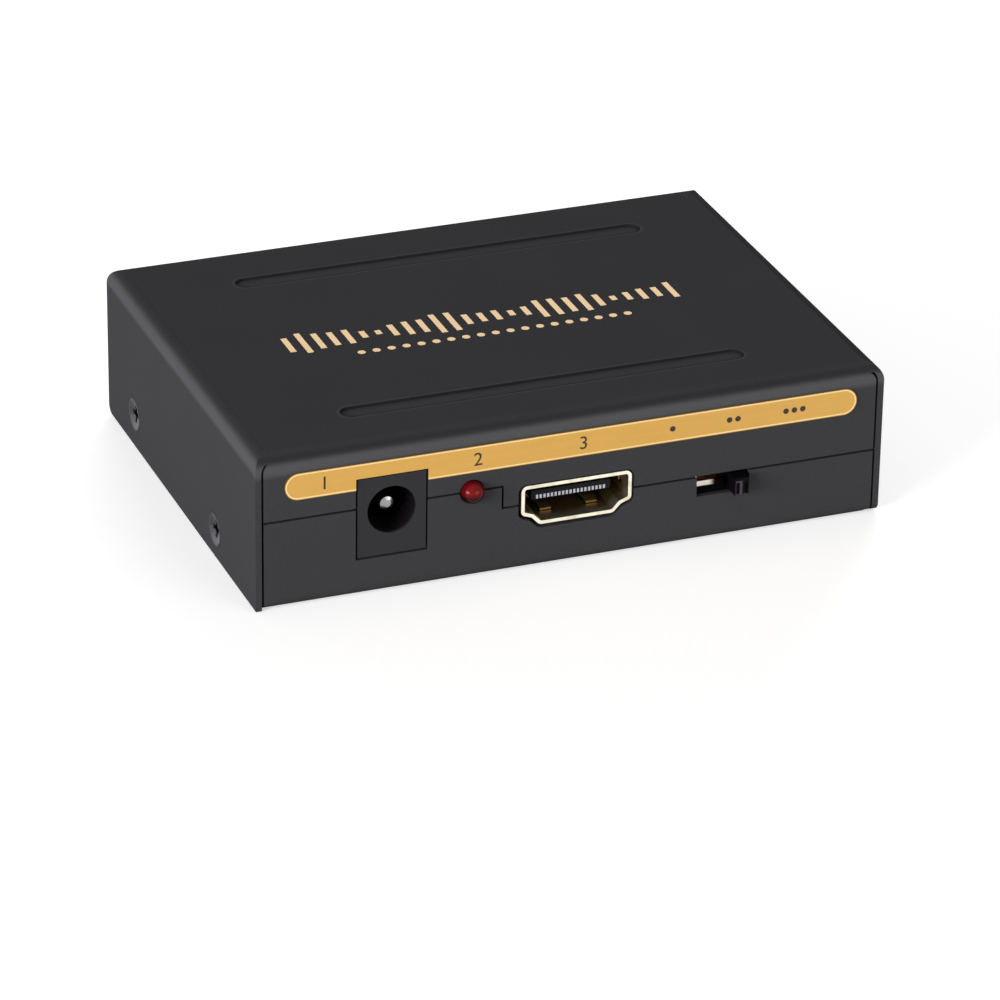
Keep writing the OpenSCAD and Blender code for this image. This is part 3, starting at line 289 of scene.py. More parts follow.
class CaseLook(bpy.types.PropertyGroup):
    colour: FloatVectorProperty(
        name="Paint", description="Colour of the powder coat", subtype="COLOR",
        default=display(58, 58, 60), min=0, max=1,
    )
    grain: FloatProperty(
        name="Grain", description="Size of the grains in the powder coat", subtype="DISTANCE",
        default=0.28 * MM, min=0.05 * MM, max=2 * MM, precision=5,
    )
    grain_depth: FloatProperty(
        name="Grain depth", description="Height of the grains", subtype="DISTANCE",
        default=0.012 * MM, min=0, max=0.1 * MM, precision=6,
    )
    roughness: FloatProperty(
        name="Roughness", description="Roughness of the paint", subtype="FACTOR",
        default=0.56, min=0, max=1,
    )
    # Strength of the painted highlight along the folds
    fold_highlight: FloatProperty(
        name="Painted fold highlight", description="How much paler the paint is along the folds",
        subtype="FACTOR", default=0.9, min=0, max=1,
    )


class PrintLook(bpy.types.PropertyGroup):
    gold: FloatVectorProperty(
        name="Gold", description="Colour of the printed strips", subtype="COLOR",
        default=display(208, 160, 80), min=0, max=1,
    )
    rim: FloatVectorProperty(
        name="Rim", description="Colour of the pale line round each strip", subtype="COLOR",
        default=display(246, 214, 150), min=0, max=1,
    )
    ink: FloatVectorProperty(
        name="Ink", description="Colour of the marks on the strips", subtype="COLOR",
        default=display(44, 30, 20), min=0, max=1,
    )
    digit_height: FloatProperty(
        name="Digit height", description="Height of the numbers on the strips", subtype="DISTANCE",
        default=1.75 * MM, min=0.5 * MM, max=3 * MM, precision=5,
    )
    film: FloatProperty(
        name="Film", description="Thickness of the ink", subtype="DISTANCE",
        default=0.015 * MM, min=0.005 * MM, max=0.1 * MM, precision=6,
    )


class MeterLook(bpy.types.PropertyGroup):
    bars: IntProperty(
        name="Bars", description="Number of bars on the top", default=27, min=3, max=60,
    )
    pitch: FloatProperty(
        name="Pitch", description="Spacing of the bars", subtype="DISTANCE",
        default=2.02 * MM, min=0.5 * MM, max=4 * MM, precision=5,
    )
    width: FloatProperty(
        name="Bar width", description="Width of each bar", subtype="DISTANCE",
        default=0.8 * MM, min=0.2 * MM, max=3 * MM, precision=5,
    )
    height: FloatProperty(
        name="Bar height", description="Height of the tallest bar", subtype="DISTANCE",
        default=6.2 * MM, min=1 * MM, max=10 * MM, precision=5,
    )
    dots: IntProperty(
        name="Dots", description="Number of dots under the bars", default=19, min=3, max=60,
    )


class StudioLook(bpy.types.PropertyGroup):
    azimuth: FloatProperty(
        name="Azimuth", description="Angle of the camera round the box", subtype="ANGLE",
        default=math.radians(-21.31),
    )
    elevation: FloatProperty(
        name="Elevation", description="Height of the camera as an angle", subtype="ANGLE",
        default=math.radians(26.52),
    )
    roll: FloatProperty(
        name="Roll", description="Turn of the camera about its own line of sight", subtype="ANGLE",
        default=math.radians(0.899),
    )
    distance: FloatProperty(
        name="Distance", description="Distance of the camera", subtype="DISTANCE", default=0.7019,
    )
    lens: FloatProperty(name="Lens", description="Focal length in millimetres", default=193.77)
    key_light: FloatProperty(
        name="Key light", description="Power of the large lamp", subtype="POWER",
        default=14.8, min=0,
    )
    fill_light: FloatProperty(
        name="Fill light", description="Power of the second lamp", subtype="POWER",
        default=4.0, min=0,
    )
    back_light: FloatProperty(
        name="Back light", description="Power of the lamp behind", subtype="POWER",
        default=11.0, min=0,
    )
    paper_glow: FloatProperty(
        name="Paper glow", description="What the floor adds where it is seen directly",
        default=0.5, min=0,
    )
    sky: FloatProperty(
        name="Room light", description="Strength of the even light of the room",
        default=0.27, min=0,
    )
    floor: FloatVectorProperty(
        name="Floor", description="Colour of the floor", subtype="COLOR",
        default=(0.86, 0.86, 0.86), min=0, max=1,
    )


# Finishes

def folds(f):
    """Shares for the painted highlight band along the bends round the top, and for the painted
    shade above it.
    """
    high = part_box("top_cover")[1]
    over_end = abs(f.x) - (high[0] - FOLD)
    over_side = abs(f.y) - (high[1] - FOLD)
    ends = over_end.above(0, 0.3 * MM) * (over_end - over_side).above(0, 0.6 * MM)
    drop = (high[2] - f.z) / FOLD + ends * 0.2
    painted_highlight = drop.above(0.33, 0.75) * (1 - drop.above(0.95, 1.4))
    painted_shade = drop.above(0.02, 0.3) * (1 - drop.above(0.45, 0.65)) * (1 - ends * 0.4)
    return painted_highlight, painted_shade


def groove_lines(f):
    """Shares for painted shade lines along the grooves' edges, and for the painted highlight on
    their pale floors and lips.
    """
    painted_shadow_lines, pale = 0.0, 0.0
    for x, y, run in GROOVES:
        across = f.y / MM - y
        along = (abs(f.x / MM - x) - (run - GROOVE_W) / 2).at_least(0.0)
        edge = reach(across, along) - GROOVE_W / 2
        painted_shadow_lines = (1 - abs(edge).above(0.04, 0.16)) + painted_shadow_lines
        # Painted highlight: pale lips just outside each groove and pale floors inside it
        pale = edge.between(0.2, 0.45, 0.08) + (1 - edge.above(-0.25, -0.1)) * 0.6 + pale
    return painted_shadow_lines, pale


def case_paint(look):
    """Matt black powder coat: fine grains over a slow orange peel, with painted highlight and
    painted shade along the folds and at the grooves.
    """
    f = Finish("case_paint")
    grain = f.noise(look.grain, detail=3.0, rough=0.6)
    peel = f.noise(6 * look.grain, detail=1.0)
    cloud = f.noise(12 * MM, detail=2.0)
    lift = grain.above(0.3, 0.8) * 0.16 + cloud * 0.12
    painted_shadow_lines, pale = groove_lines(f)
    painted_highlight, painted_shade = folds(f)
    colour = f.mix(lift, tuple(look.colour), display(80, 80, 83))
    # Painted shade: darker high on each bend
    colour = f.mix(painted_shade * 0.7, colour, display(42, 42, 44))
    # Painted highlight: paler lower on each bend, where light catches it
    colour = f.mix(painted_highlight * look.fold_highlight, colour, display(82, 82, 85))
    # Painted shade: dark lines along the grooves' edges
    colour = f.mix(painted_shadow_lines * 0.7, colour, display(26, 26, 27))
    # Painted highlight: pale groove floors and lips
    colour = f.mix(pale * 0.5, colour, display(78, 78, 81))
    rough = look.roughness + (grain - 0.5) * 0.18 + (cloud - 0.5) * 0.06
    grains = f.bump(grain, look.grain_depth, 0.5)
    return f.surface(
        Base_Color=colour, Roughness=rough, Specular_ior_Level=0.0,
        Normal=f.bump(peel, 2 * look.grain_depth, 0.35, grains),
    )


def screw_steel(name):
    """Black plated screw heads: turned rings, with painted shade on the rim, in the middle and down
    the recess, and a painted highlight on the lower half.
    """
    f = Finish(name)
    across = f.y * f.x.sign() / -MM
    far = across.above(2.0, 3.0)
    side = across - (far * (FAR_SCREW[0] - NEAR_SCREW[0]) + NEAR_SCREW[0])
    up = f.z / MM - (far * (FAR_SCREW[1] - NEAR_SCREW[1]) + NEAR_SCREW[1])
    radius = reach(side, up)
    turns = (radius * 30.0).wave()
    worn = f.noise(0.5 * MM, detail=3.0)
    # Painted highlight: lighter on the lower half of each head and darker above, broken up by noise
    painted_highlight = (0.5 - up * 0.3 - side * 0.12 + (worn - 0.5) * 0.7).above(0.1, 1.0)
    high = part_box("case_screws")[1][0]
    painted_recess_shade = ((high - abs(f.x)) / MM).above(SCREW_RECESS, SCREW_RECESS + 0.2)
    tone = f.mix(painted_highlight, display(34, 34, 37), display(82, 81, 86))
    # Painted shade: a dark ring round each head's edge
    rim = radius.above(SCREW_HEAD_R - 0.15, SCREW_HEAD_R + 0.15)
    tone = f.mix(rim * 0.9, tone, display(14, 14, 15))
    # Painted shade: dark in the middle of each head and down its recess
    tone = f.mix((1 - radius.above(0.4, 0.95)) * 0.75, tone, display(14, 14, 16))
    tone = f.mix(painted_recess_shade, tone, display(6, 6, 7))
    return f.surface(
        Base_Color=tone, Roughness=0.4 + worn * 0.1, Normal=f.bump(turns, 0.002 * MM, 0.3),
        Specular_ior_Level=0.15,
    )


def strip_gold(name, node, look):
    """Gold print with a pale line just inside its outline and a dark edge."""
    f = Finish(name)
    half = length(node, 2) / 2
    run = length(node, 0) / 2 - half
    across = (f.z - middle(node, 2)) / MM
    along = (abs(f.x - middle(node, 0)) - run).at_least(0.0) / MM
    edge = half / MM - reach(across, along)
    rim = edge.between(*STRIP_LINE, 0.05)
    outline = 1 - edge.above(STRIP_EDGE, STRIP_LINE[0])
    brushed = f.noise(0.5 * MM, detail=4.0, stretch=(0.05, 1, 1))
    colour = f.mix(brushed * 0.3, tuple(look.gold), display(228, 180, 98))
    colour = f.mix(rim, colour, tuple(look.rim))
    colour = f.mix(outline * 0.85, colour, tuple(look.ink))
    return f.surface(
        Base_Color=colour, Roughness=0.45 + brushed * 0.12,
        Normal=f.bump(brushed, 0.004 * MM, 0.3), Specular_ior_Level=0.2,
    )


def flat_ink(name, colour, pale=None):
    """Screen print: even colour with a faint mesh texture."""
    f = Finish(name)
    mesh = f.noise(0.12 * MM, detail=2.0)
    pale = pale or tuple(min(1.0, c * 1.5 + 0.01) for c in colour)
    tone = f.mix(mesh * 0.35, colour, pale)
    return f.surface(
        Base_Color=tone, Roughness=0.5 + mesh * 0.15, Normal=f.bump(mesh, 0.003 * MM, 0.4),
        Specular_ior_Level=0.35,
    )


def moulded(name, colour, roughness, grain=0.2 * MM, depth=0.006 * MM, gloss=0.45, coat=0.0):
    """Moulded plastic: spark-eroded grain and faint flow marks in a paler tone."""
    f = Finish(name)
    fine = f.noise(grain, detail=3.0)
    flow = f.noise(5 * MM, detail=2.0, stretch=(1, 0.4, 1))
    lighter = tuple(min(1.0, c * 1.35 + 0.006) for c in colour)
    tone = f.mix(fine * 0.3 + flow * 0.35, colour, lighter)
    return f.surface(
        Base_Color=tone, Roughness=roughness + (fine - 0.5) * 0.12 + (flow - 0.5) * 0.08,
        Normal=f.bump(fine, depth, 0.4), Specular_ior_Level=gloss, Coat_Weight=coat,
        Coat_Roughness=0.08,
    )


def socket_plastic(name, face, colour, painted_shade_colour):
    """Moulded plastic round a hole: grained on its face, smooth down the hole and darker there with
    painted shade.
    """
    f = Finish(name)
    fine = f.noise(0.2 * MM, detail=3.0)
    deep = ((f.y - face) / MM).above(0.05, 0.6)
    lighter = tuple(c * 1.3 + 0.006 for c in colour)
    # Painted shade: darker down the hole
    tone = f.mix(deep, f.mix(fine * 0.5, colour, lighter), painted_shade_colour)
    return f.surface(
        Base_Color=tone, Roughness=0.52 + (fine - 0.5) * 0.12 - deep * 0.25,
        Normal=f.bump(fine, 0.006 * MM, 0.4), Specular_ior_Level=0.1,
    )


def metal(name, colour, roughness):
    """Plated or bare metal with fine tool marks and faint tarnish."""
    f = Finish(name)
    marks = f.noise(0.1 * MM, detail=4.0)
    tarnish = f.noise(1.6 * MM, detail=3.0)
    darker = tuple(c * 0.75 for c in colour)
    tone = f.mix(tarnish.above(0.35, 0.8) * 0.5 + marks * 0.2, colour, darker)
    return f.surface(
        Base_Color=tone, Metallic=1.0, Roughness=roughness + marks * 0.1 + tarnish * 0.06,
        Normal=f.bump(marks, 0.003 * MM, 0.35),
    )


def turned_nickel(name, nodes):
    """Bright nickel on two turned shells: fine rings, and a duller polish towards the rims."""
    f = Finish(name)
    left, right = (middle(node, 0) for node in nodes)
    nearest = abs(f.x - left).at_most(abs(f.x - right))
    up = f.z - middle(nodes[0], 2)
    radius = reach(nearest, up) / MM
    turns = (radius * 24.0).wave() * 0.5 + 0.5
    rings = (f.y * (12.0 / MM)).wave() * 0.5 + 0.5
    tarnish = f.noise(1.2 * MM, detail=3.0)
    near_rim = ((f.y - face_of(nodes[0], 1)) / MM).above(-4.5, -0.5)
    tone = f.mix(tarnish * 0.35, (0.68, 0.68, 0.70), (0.50, 0.50, 0.52))
    return f.surface(
        Base_Color=tone, Metallic=1.0, Normal=f.bump(turns + rings, 0.0008 * MM, 0.15),
        Roughness=0.1 + near_rim * 0.25 + tarnish * 0.05 + rings * 0.02,
    )


def plated_shell(name, face, inwards):
    """Stamped shell: pale plating on the rolled rim, and painted shade further in, as a deeper,
    darker gold.
    """
    f = Finish(name)
    deep = ((f.y - face) * inwards / MM).above(0.3, 2.4)
    marks = f.noise(0.12 * MM, detail=3.0, stretch=(1, 0.15, 1))
    stain = f.noise(1.4 * MM, detail=3.0)
    # Painted shade: deeper, darker gold further into the shell
    tone = f.mix(deep, display(255, 249, 228), display(164, 134, 86))
    tone = f.mix(stain.above(0.4, 0.8) * 0.4, tone, display(160, 122, 60))
    return f.surface(
        Base_Color=tone, Metallic=1.0, Roughness=0.24 + marks * 0.12 + deep * 0.08,
        Normal=f.bump(marks, 0.003 * MM, 0.3),
    )


def lens(name, node, outwards, deep, bright):
    """Cast lens: dark, with a painted highlight as a bright heart in the upper half of what stands
    outside.
    """
    f = Finish(name)
    across = f.x - middle(node, 0)
    up = f.z - middle(node, 2)
    radius = reach(across, up) / MM
    swirl = f.noise(0.8 * MM, detail=2.0)
    outside = ((f.y - face_of("bottom_tray", outwards)) * outwards / MM).above(-0.5, 0.2)
    painted_bright_heart = (up / MM).above(-0.5, 0.5) * (1 - radius.above(0.9, 1.6) * 0.45) * outside
    # Painted highlight: the bright heart
    tone = f.mix(painted_bright_heart * 0.9 + swirl * 0.1, deep, bright)
    return f.surface(
        Base_Color=tone, Roughness=0.1 + swirl * 0.03, Coat_Weight=0.04, Coat_Roughness=0.02,
        Normal=f.bump(swirl, 0.003 * MM, 0.15), Specular_ior_Level=0.1,
    )


def laminate(name):
    """Circuit board: green mask, paler where tracks run under it, and a bare edge."""
    f = Finish(name)
    tracks = f.node(
        "ShaderNodeTexBrick",
        {"offset": 0.5, "squash": 0.6, "squash_frequency": 3},
        {"Vector": f.place, "Scale": 1 / (9 * MM), "Mortar Size": 0.03, "Mortar Smooth": 0.1},
        out="Fac",
    )
    vias = 1 - f.cells(2.6 * MM).above(0.09, 0.13)
    weave = f.noise(0.3 * MM, detail=2.0, stretch=(1, 0.3, 1))
    inside = (f.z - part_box("circuit_board")[0][2]) / MM
    faces = 1 - inside.between(0.05, length("circuit_board", 2) / MM - 0.05, 0.02)
    tone = f.mix(tracks * 0.8, display(18, 84, 48), display(40, 120, 70))
    tone = f.mix(vias * faces, tone, display(190, 190, 180))
    tone = f.mix((1 - faces) * 0.7, tone, display(150, 150, 96))
    return f.surface(
        Base_Color=tone, Roughness=0.34 + weave * 0.1,
        Normal=f.bump(tracks + weave * 0.2, 0.02 * MM, 0.4),
    )


def switch_steel(name):
    """Bright sheet, with painted shade along its lower edge and behind the slider."""
    f = Finish(name)
    marks = f.noise(0.1 * MM, detail=4.0, stretch=(0.1, 1, 1))
    up = (f.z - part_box("circuit_board")[1][2]) / MM
    foot = 1 - up.above(FRAME_FOOT, FRAME_FOOT + 0.15)
    painted_shade = foot.at_least((f.x / MM).above(FRAME_RIGHT, FRAME_RIGHT + 0.9))
    tone = f.mix(marks * 0.3, (0.70, 0.65, 0.58), (0.52, 0.47, 0.40))
    # Painted shade along the lower edge and behind the slider
    tone = f.mix(painted_shade, tone, display(12, 9, 8))
    return f.surface(
        Base_Color=tone, Metallic=1.0, Roughness=0.3 + marks * 0.1,
        Normal=f.bump(marks, 0.003 * MM, 0.3),
    )


def knob_plastic(name):
    """Black knob with a painted grey highlight on the face of its ridge."""
    f = Finish(name)
    low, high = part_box("switch_knob")
    fine = f.noise(0.12 * MM, detail=3.0)
    front = 1 - ((f.y - low[1]) / MM).above(0.05, 0.15)
    painted_ridge_highlight = ((f.x - low[0]) / (high[0] - low[0])).between(*KNOB_RIDGE, 0.03)
    up = (f.z - low[2]) / (high[2] - low[2])
    lower = 1 - up.above(KNOB_RIDGE_TOP, KNOB_RIDGE_TOP + 0.06)
    tone = f.mix(fine * 0.4, display(8, 6, 11), display(14, 12, 18))
    # Painted highlight on the ridge's face
    tone = f.mix(front * painted_ridge_highlight * lower, tone, display(70, 66, 74))
    return f.surface(
        Base_Color=tone, Roughness=0.42 + (fine - 0.5) * 0.12,
        Normal=f.bump(fine, 0.005 * MM, 0.4), Specular_ior_Level=0.05,
    )


def shutter_plastic(name):
    """Dark shutter with a painted highlight that makes a paler rib down its middle."""
    f = Finish(name)
    fine = f.noise(0.14 * MM, detail=3.0)
    side = abs(f.x - middle("optical_shutter", 0)) / MM
    deep = abs(f.y - face_of("optical_shutter", 1)) / MM
    painted_rib_highlight = 1 - side.above(RIB_HALF_W, RIB_HALF_W + 0.06)
    painted_rib_highlight = painted_rib_highlight * (1 - deep.above(0.5, 0.9)) * (1 - (f.z / MM).above(RIB_TOP, RIB_TOP + 0.2))
    tone = f.mix(fine * 0.4, display(38, 36, 41), display(48, 46, 51))
    # Painted highlight: the rib's face is paler
    tone = f.mix(painted_rib_highlight * 0.8, tone, display(72, 72, 78))
    return f.surface(
        Base_Color=tone, Roughness=0.4 + (fine - 0.5) * 0.1,
        Normal=f.bump(fine, 0.005 * MM, 0.3), Specular_ior_Level=0.2,
    )


def port_plastic(name):
    """Dark moulded port, with painted shade as black lines along its outline and round its mouth.
    """
    f = Finish(name)
    fine = f.noise(0.2 * MM, detail=3.0)
    side = abs(f.x - middle("optical_housing", 0)) / MM
    half = length("optical_housing", 0) / 2 / MM
    up = (f.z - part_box("optical_housing")[1][2]) / MM + PORT_H / 2
    painted_outline_shade = 1 - (half - side).at_most(PORT_H / 2 - abs(up)).above(0.05, 0.2)
    out = (side - MOUTH_HALF_W + MOUTH_CORNER).at_least(0.0)
    over = (abs(up - MOUTH_UP) - MOUTH_HALF_H + MOUTH_CORNER).at_least(0.0)
    round_mouth = reach(out, over) - MOUTH_CORNER
    painted_mouth_shade = 1 - round_mouth.above(0.06, 0.2)
    tone = f.mix(fine * 0.4, display(50, 49, 52), display(60, 59, 62))
    # Painted shade: black lines along the outline and round the mouth
    tone = f.mix(painted_outline_shade.at_least(painted_mouth_shade) * 0.95, tone, display(8, 8, 9))
    return f.surface(
        Base_Color=tone, Roughness=0.5 + (fine - 0.5) * 0.12,
        Normal=f.bump(fine, 0.006 * MM, 0.4), Specular_ior_Level=0.1,
    )


def phenolic_sheet(name):
    """Brown paper laminate with dark streaks."""
    f = Finish(name)
    streaks = f.noise(0.25 * MM, detail=4.0, stretch=(0.2, 1, 1))
    tone = f.mix(streaks.above(0.3, 0.75), display(104, 56, 20), display(160, 96, 42))
    return f.surface(
        Base_Color=tone, Roughness=0.45 + streaks * 0.1,
        Normal=f.bump(streaks, 0.005 * MM, 0.4),
    )


# Shapes

def placed(name, data):
    """A new object of the scene that holds the data."""
    made = bpy.data.objects.new(name, data)
    bpy.context.scene.collection.objects.link(made)
    return made


def applied_mesh(holder):
    """A mesh of what an object shows, with its modifiers applied."""
    bpy.context.view_layer.update()
    now = bpy.context.evaluated_depsgraph_get()
    return bpy.data.meshes.new_from_object(holder.evaluated_get(now))


def mesh_piece(name, build):
    """An object at the origin whose mesh a function builds in place."""
    made = bmesh.new()
    build(made)
    bmesh.ops.remove_doubles(made, verts=made.verts, dist=0.0005 * MM)
    bmesh.ops.recalc_face_normals(made, faces=made.faces)
    mesh = bpy.data.meshes.new(name)
    made.to_mesh(mesh)
    made.free()
    return placed(name, mesh)


def finish_piece(piece, material, body):
    """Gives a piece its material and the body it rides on."""
    piece.data.materials.clear()
    piece.data.materials.append(material)
    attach(piece, body)


def digit_mesh(digit, height, film):
    """A number as a thin closed solid, its middle over the origin and its face up."""
    half = 0.5
    curve = bpy.data.curves.new("digit", "FONT")
    curve.body = digit
    curve.extrude = half
    holder = placed("digit", curve)
    mesh = applied_mesh(holder)
    bpy.data.objects.remove(holder)
    bpy.data.curves.remove(curve)
    xs = [v.co.x for v in mesh.vertices]
    ys = [v.co.y for v in mesh.vertices]
    scale = height / (max(ys) - min(ys))
    centre = Vector(((max(xs) + min(xs)) / 2, (max(ys) + min(ys)) / 2, -half))
    mesh.transform(Matrix.Diagonal((scale, scale, film, 1)) @ Matrix.Translation(-centre))
    return mesh


def add_dot(made, radius, film, place):
    """A round dot that stands on its place."""
    bmesh.ops.create_cone(
        made, cap_ends=True, segments=24, radius1=radius, radius2=radius, depth=film,
        matrix=place @ Matrix.Translation((0, 0, film / 2)),
    )


def strip_marks(node, outwards, look, material):
    """Numbers and dots on a strip, whose outer face looks to -Y or +Y as outwards is -1 or 1."""
    turn = Matrix.Rotation(math.pi / 2, 4, "X")
    if outwards > 0:
        turn = Matrix.Rotation(math.pi, 4, "Z") @ turn
    face, height = face_of(node, outwards), middle(node, 2)

    def build(made):
        for along, mark in STRIP_MARKS[node]:
            place = Matrix.Translation((-outwards * along * MM, face, height)) @ turn
            if isinstance(mark, str):
                digit = digit_mesh(mark, look.digit_height, look.film)
                digit.transform(place)
                made.from_mesh(digit)
                bpy.data.meshes.remove(digit)
            else:
                for i in range(mark):
                    side = Matrix.Translation(((i - (mark - 1) / 2) * DOT_PITCH * MM, 0, 0))
                    add_dot(made, DOT_R * MM, look.film, place @ side)

    finish_piece(mesh_piece(node + "_marks", build), material, "case")


def meter_tree():
    """Geometry nodes for a row of bars like those of a sound meter, over a row of dots."""
    tree = bpy.data.node_groups.new("sound_meter", "GeometryNodeTree")
    face = tree.interface
    face.new_socket("Geometry", in_out="OUTPUT", socket_type="NodeSocketGeometry")
    for name, kind in (
        ("Bars", "NodeSocketInt"), ("Pitch", "NodeSocketFloat"), ("Bar Width", "NodeSocketFloat"),
        ("Bar Height", "NodeSocketFloat"), ("Dots", "NodeSocketInt"), ("Film", "NodeSocketFloat"),
        ("Bar Middle", "NodeSocketVector"), ("Dot Middle", "NodeSocketVector"),
        ("Material", "NodeSocketMaterial"),
    ):
        face.new_socket(name, in_out="INPUT", socket_type=kind)
    g = Graph(tree)

    def given(name):
        return g.node("NodeGroupInput", out=name)

    def vector(x, y, z):
        return g.node("ShaderNodeCombineXYZ", inputs={"X": x, "Y": y, "Z": z})

    number = g.node("GeometryNodeInputIndex")

    def row(count, middle_at, shape, scale):
        """Copies of a shape along a line whose middle is given."""
        along = vector((number - (count - 1) / 2) * given("Pitch"), 0.0, 0.0)
        place = g.node("ShaderNodeVectorMath", {"operation": "ADD"}, {0: middle_at, 1: along})
        points = g.node("GeometryNodePoints", inputs={"Count": count, "Position": place})
        return g.node("GeometryNodeInstanceOnPoints", inputs={
            "Points": points, "Instance": shape, "Scale": scale})

    # The bars' heights, as shares of the tallest, follow a slow wave with a quick one on it
    swell = 0.58 + 0.27 * (number * 0.74 + 0.4).wave() + 0.15 * (number * 1.93).wave()
    bar = g.node("GeometryNodeMeshCube", inputs={
        "Size": vector(given("Bar Width"), given("Bar Height"), given("Film"))})
    bars = row(given("Bars"), given("Bar Middle"), bar, vector(1.0, swell, 1.0))
    dot = g.node("GeometryNodeMeshCylinder", inputs={
        "Vertices": 20, "Radius": given("Bar Width") * METER_DOT, "Depth": given("Film")})
    dots = row(given("Dots"), given("Dot Middle"), dot, (1.0, 1.0, 1.0))
    joined = g.node("GeometryNodeJoinGeometry", inputs={0: [bars, dots]})
    solid = g.node("GeometryNodeRealizeInstances", inputs={0: joined})
    done = g.node("GeometryNodeSetMaterial", inputs={
        "Geometry": solid, "Material": given("Material")})
    g.node("NodeGroupOutput", inputs={"Geometry": done})
    return tree


def grown(name, tree, values):
    """The plain mesh that a tree makes, as an object with no modifier left on it."""
    holder = placed(name + "_rule", bpy.data.meshes.new(name + "_rule"))
    rule = holder.modifiers.new("rule", "NODES")
    rule.node_group = tree
    for item in tree.interface.items_tree:
        if item.in_out == "INPUT" and item.name in values:
            rule[item.identifier] = values[item.name]
    mesh = applied_mesh(holder)
    holder.modifiers.remove(rule)
    bpy.data.objects.remove(holder)
    mesh.name = name
    return placed(name, mesh)


# Operators, one for each group of pieces

class AUDIO_BOX_OT_case(bpy.types.Operator):
    """Paint the cover and the tray, and plate the screws that join them"""

    bl_idname = "audio_box.case"
    bl_label = "Case"

    def execute(self, context):
        wear(["top_cover", "bottom_tray"], case_paint(context.scene.case_look))
        wear(["case_screws"], screw_steel("case_screw_steel"))
        return {"FINISHED"}


class AUDIO_BOX_OT_strips(bpy.types.Operator):
    """Print the gold strips and the plain marks on them"""

    bl_idname = "audio_box.strips"
    bl_label = "Gold strips"

    def execute(self, context):
        look = context.scene.print_look
        ink = flat_ink("strip_ink", tuple(look.ink))
        for node, outwards in (("input_label", -1), ("output_label", 1)):
            wear([node], strip_gold(node + "_gold", node, look))
            strip_marks(node, outwards, look, ink)
        return {"FINISHED"}


class AUDIO_BOX_OT_meter(bpy.types.Operator):
    """Print a plain sound meter in gold on the top"""

    bl_idname = "audio_box.meter"
    bl_label = "Print on the top"

    def execute(self, context):
        look = context.scene.meter_look
        film = context.scene.print_look.film
        gold = flat_ink("top_gold", display(228, 182, 110), display(240, 200, 132))
        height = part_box("top_cover")[1][2] + film / 2
        piece = grown("top_print", meter_tree(), {
            "Bars": look.bars, "Pitch": look.pitch, "Bar Width": look.width,
            "Bar Height": look.height, "Dots": look.dots, "Film": film, "Material": gold,
            "Bar Middle": (BARS_AT[0] * MM, BARS_AT[1] * MM, height),
            "Dot Middle": (DOTS_AT[0] * MM, DOTS_AT[1] * MM, height),
        })
        finish_piece(piece, gold, "case")
        return {"FINISHED"}


class AUDIO_BOX_OT_power_inlet(bpy.types.Operator):
    """Finish the power inlet, its pin and its spring"""

    bl_idname = "audio_box.power_inlet"
    bl_label = "Power inlet"

    def execute(self, context):
        face = face_of("inlet_housing", -1)
        # The last colour is the painted shade down the hole
        wear(["inlet_housing"], socket_plastic(
            "inlet_plastic", face, display(43, 43, 45), display(24, 20, 24)))
        wear(["inlet_pin", "inlet_spring"], metal("inlet_nickel", (0.34, 0.34, 0.35), 0.16))
        return {"FINISHED"}


class AUDIO_BOX_OT_lights(bpy.types.Operator):
    """Cast the two lenses and tin their leads"""

    bl_idname = "audio_box.lights"
    bl_label = "Indicator lights"

    def execute(self, context):
        wear(["power_light_lens"], lens(
            "red_lens", "power_light_lens", -1, display(22, 3, 6), display(118, 10, 15)))
        wear(["link_light_lens"], lens(
            "green_lens", "link_light_lens", 1, display(2, 24, 14), display(4, 88, 52)))
        wear(["power_light_leads", "link_light_leads"],
             metal("tinned_lead", (0.72, 0.72, 0.73), 0.35))
        return {"FINISHED"}


class AUDIO_BOX_OT_video_sockets(bpy.types.Operator):
    """Plate both video sockets, and finish their tongues and contacts"""

    bl_idname = "audio_box.video_sockets"
    bl_label = "Video sockets"

    def execute(self, context):
        for side, outwards in (("in", -1), ("out", 1)):
            node = f"video_{side}_shell"
            wear([node], plated_shell(f"video_{side}_plate", face_of(node, outwards), -outwards))
        wear(["video_in_tongue", "video_out_tongue"],
             moulded("tongue_plastic", display(12, 12, 14), 0.45, gloss=0.1))
        wear(["video_in_contacts", "video_out_contacts"],
             metal("contact_plate", (0.46, 0.46, 0.56), 0.4))
        return {"FINISHED"}


class AUDIO_BOX_OT_mode_switch(bpy.types.Operator):
    """Finish the mode switch: frame, terminal board, slider and knob"""

    bl_idname = "audio_box.mode_switch"
    bl_label = "Mode switch"

    def execute(self, context):
        wear(["switch_frame"], switch_steel("switch_steel"))
        wear(["switch_base"], moulded("switch_foot_plastic", display(4, 5, 5), 0.5, gloss=0.0))
        wear(["switch_back"], phenolic_sheet("switch_phenolic"))
        wear(["switch_terminals"], metal("switch_terminal_plate", (0.76, 0.75, 0.72), 0.3))
        wear(["switch_knob"], knob_plastic("knob_plastic"))
        wear(["switch_wiper"], metal("wiper_plate", (0.82, 0.68, 0.36), 0.25))
        return {"FINISHED"}


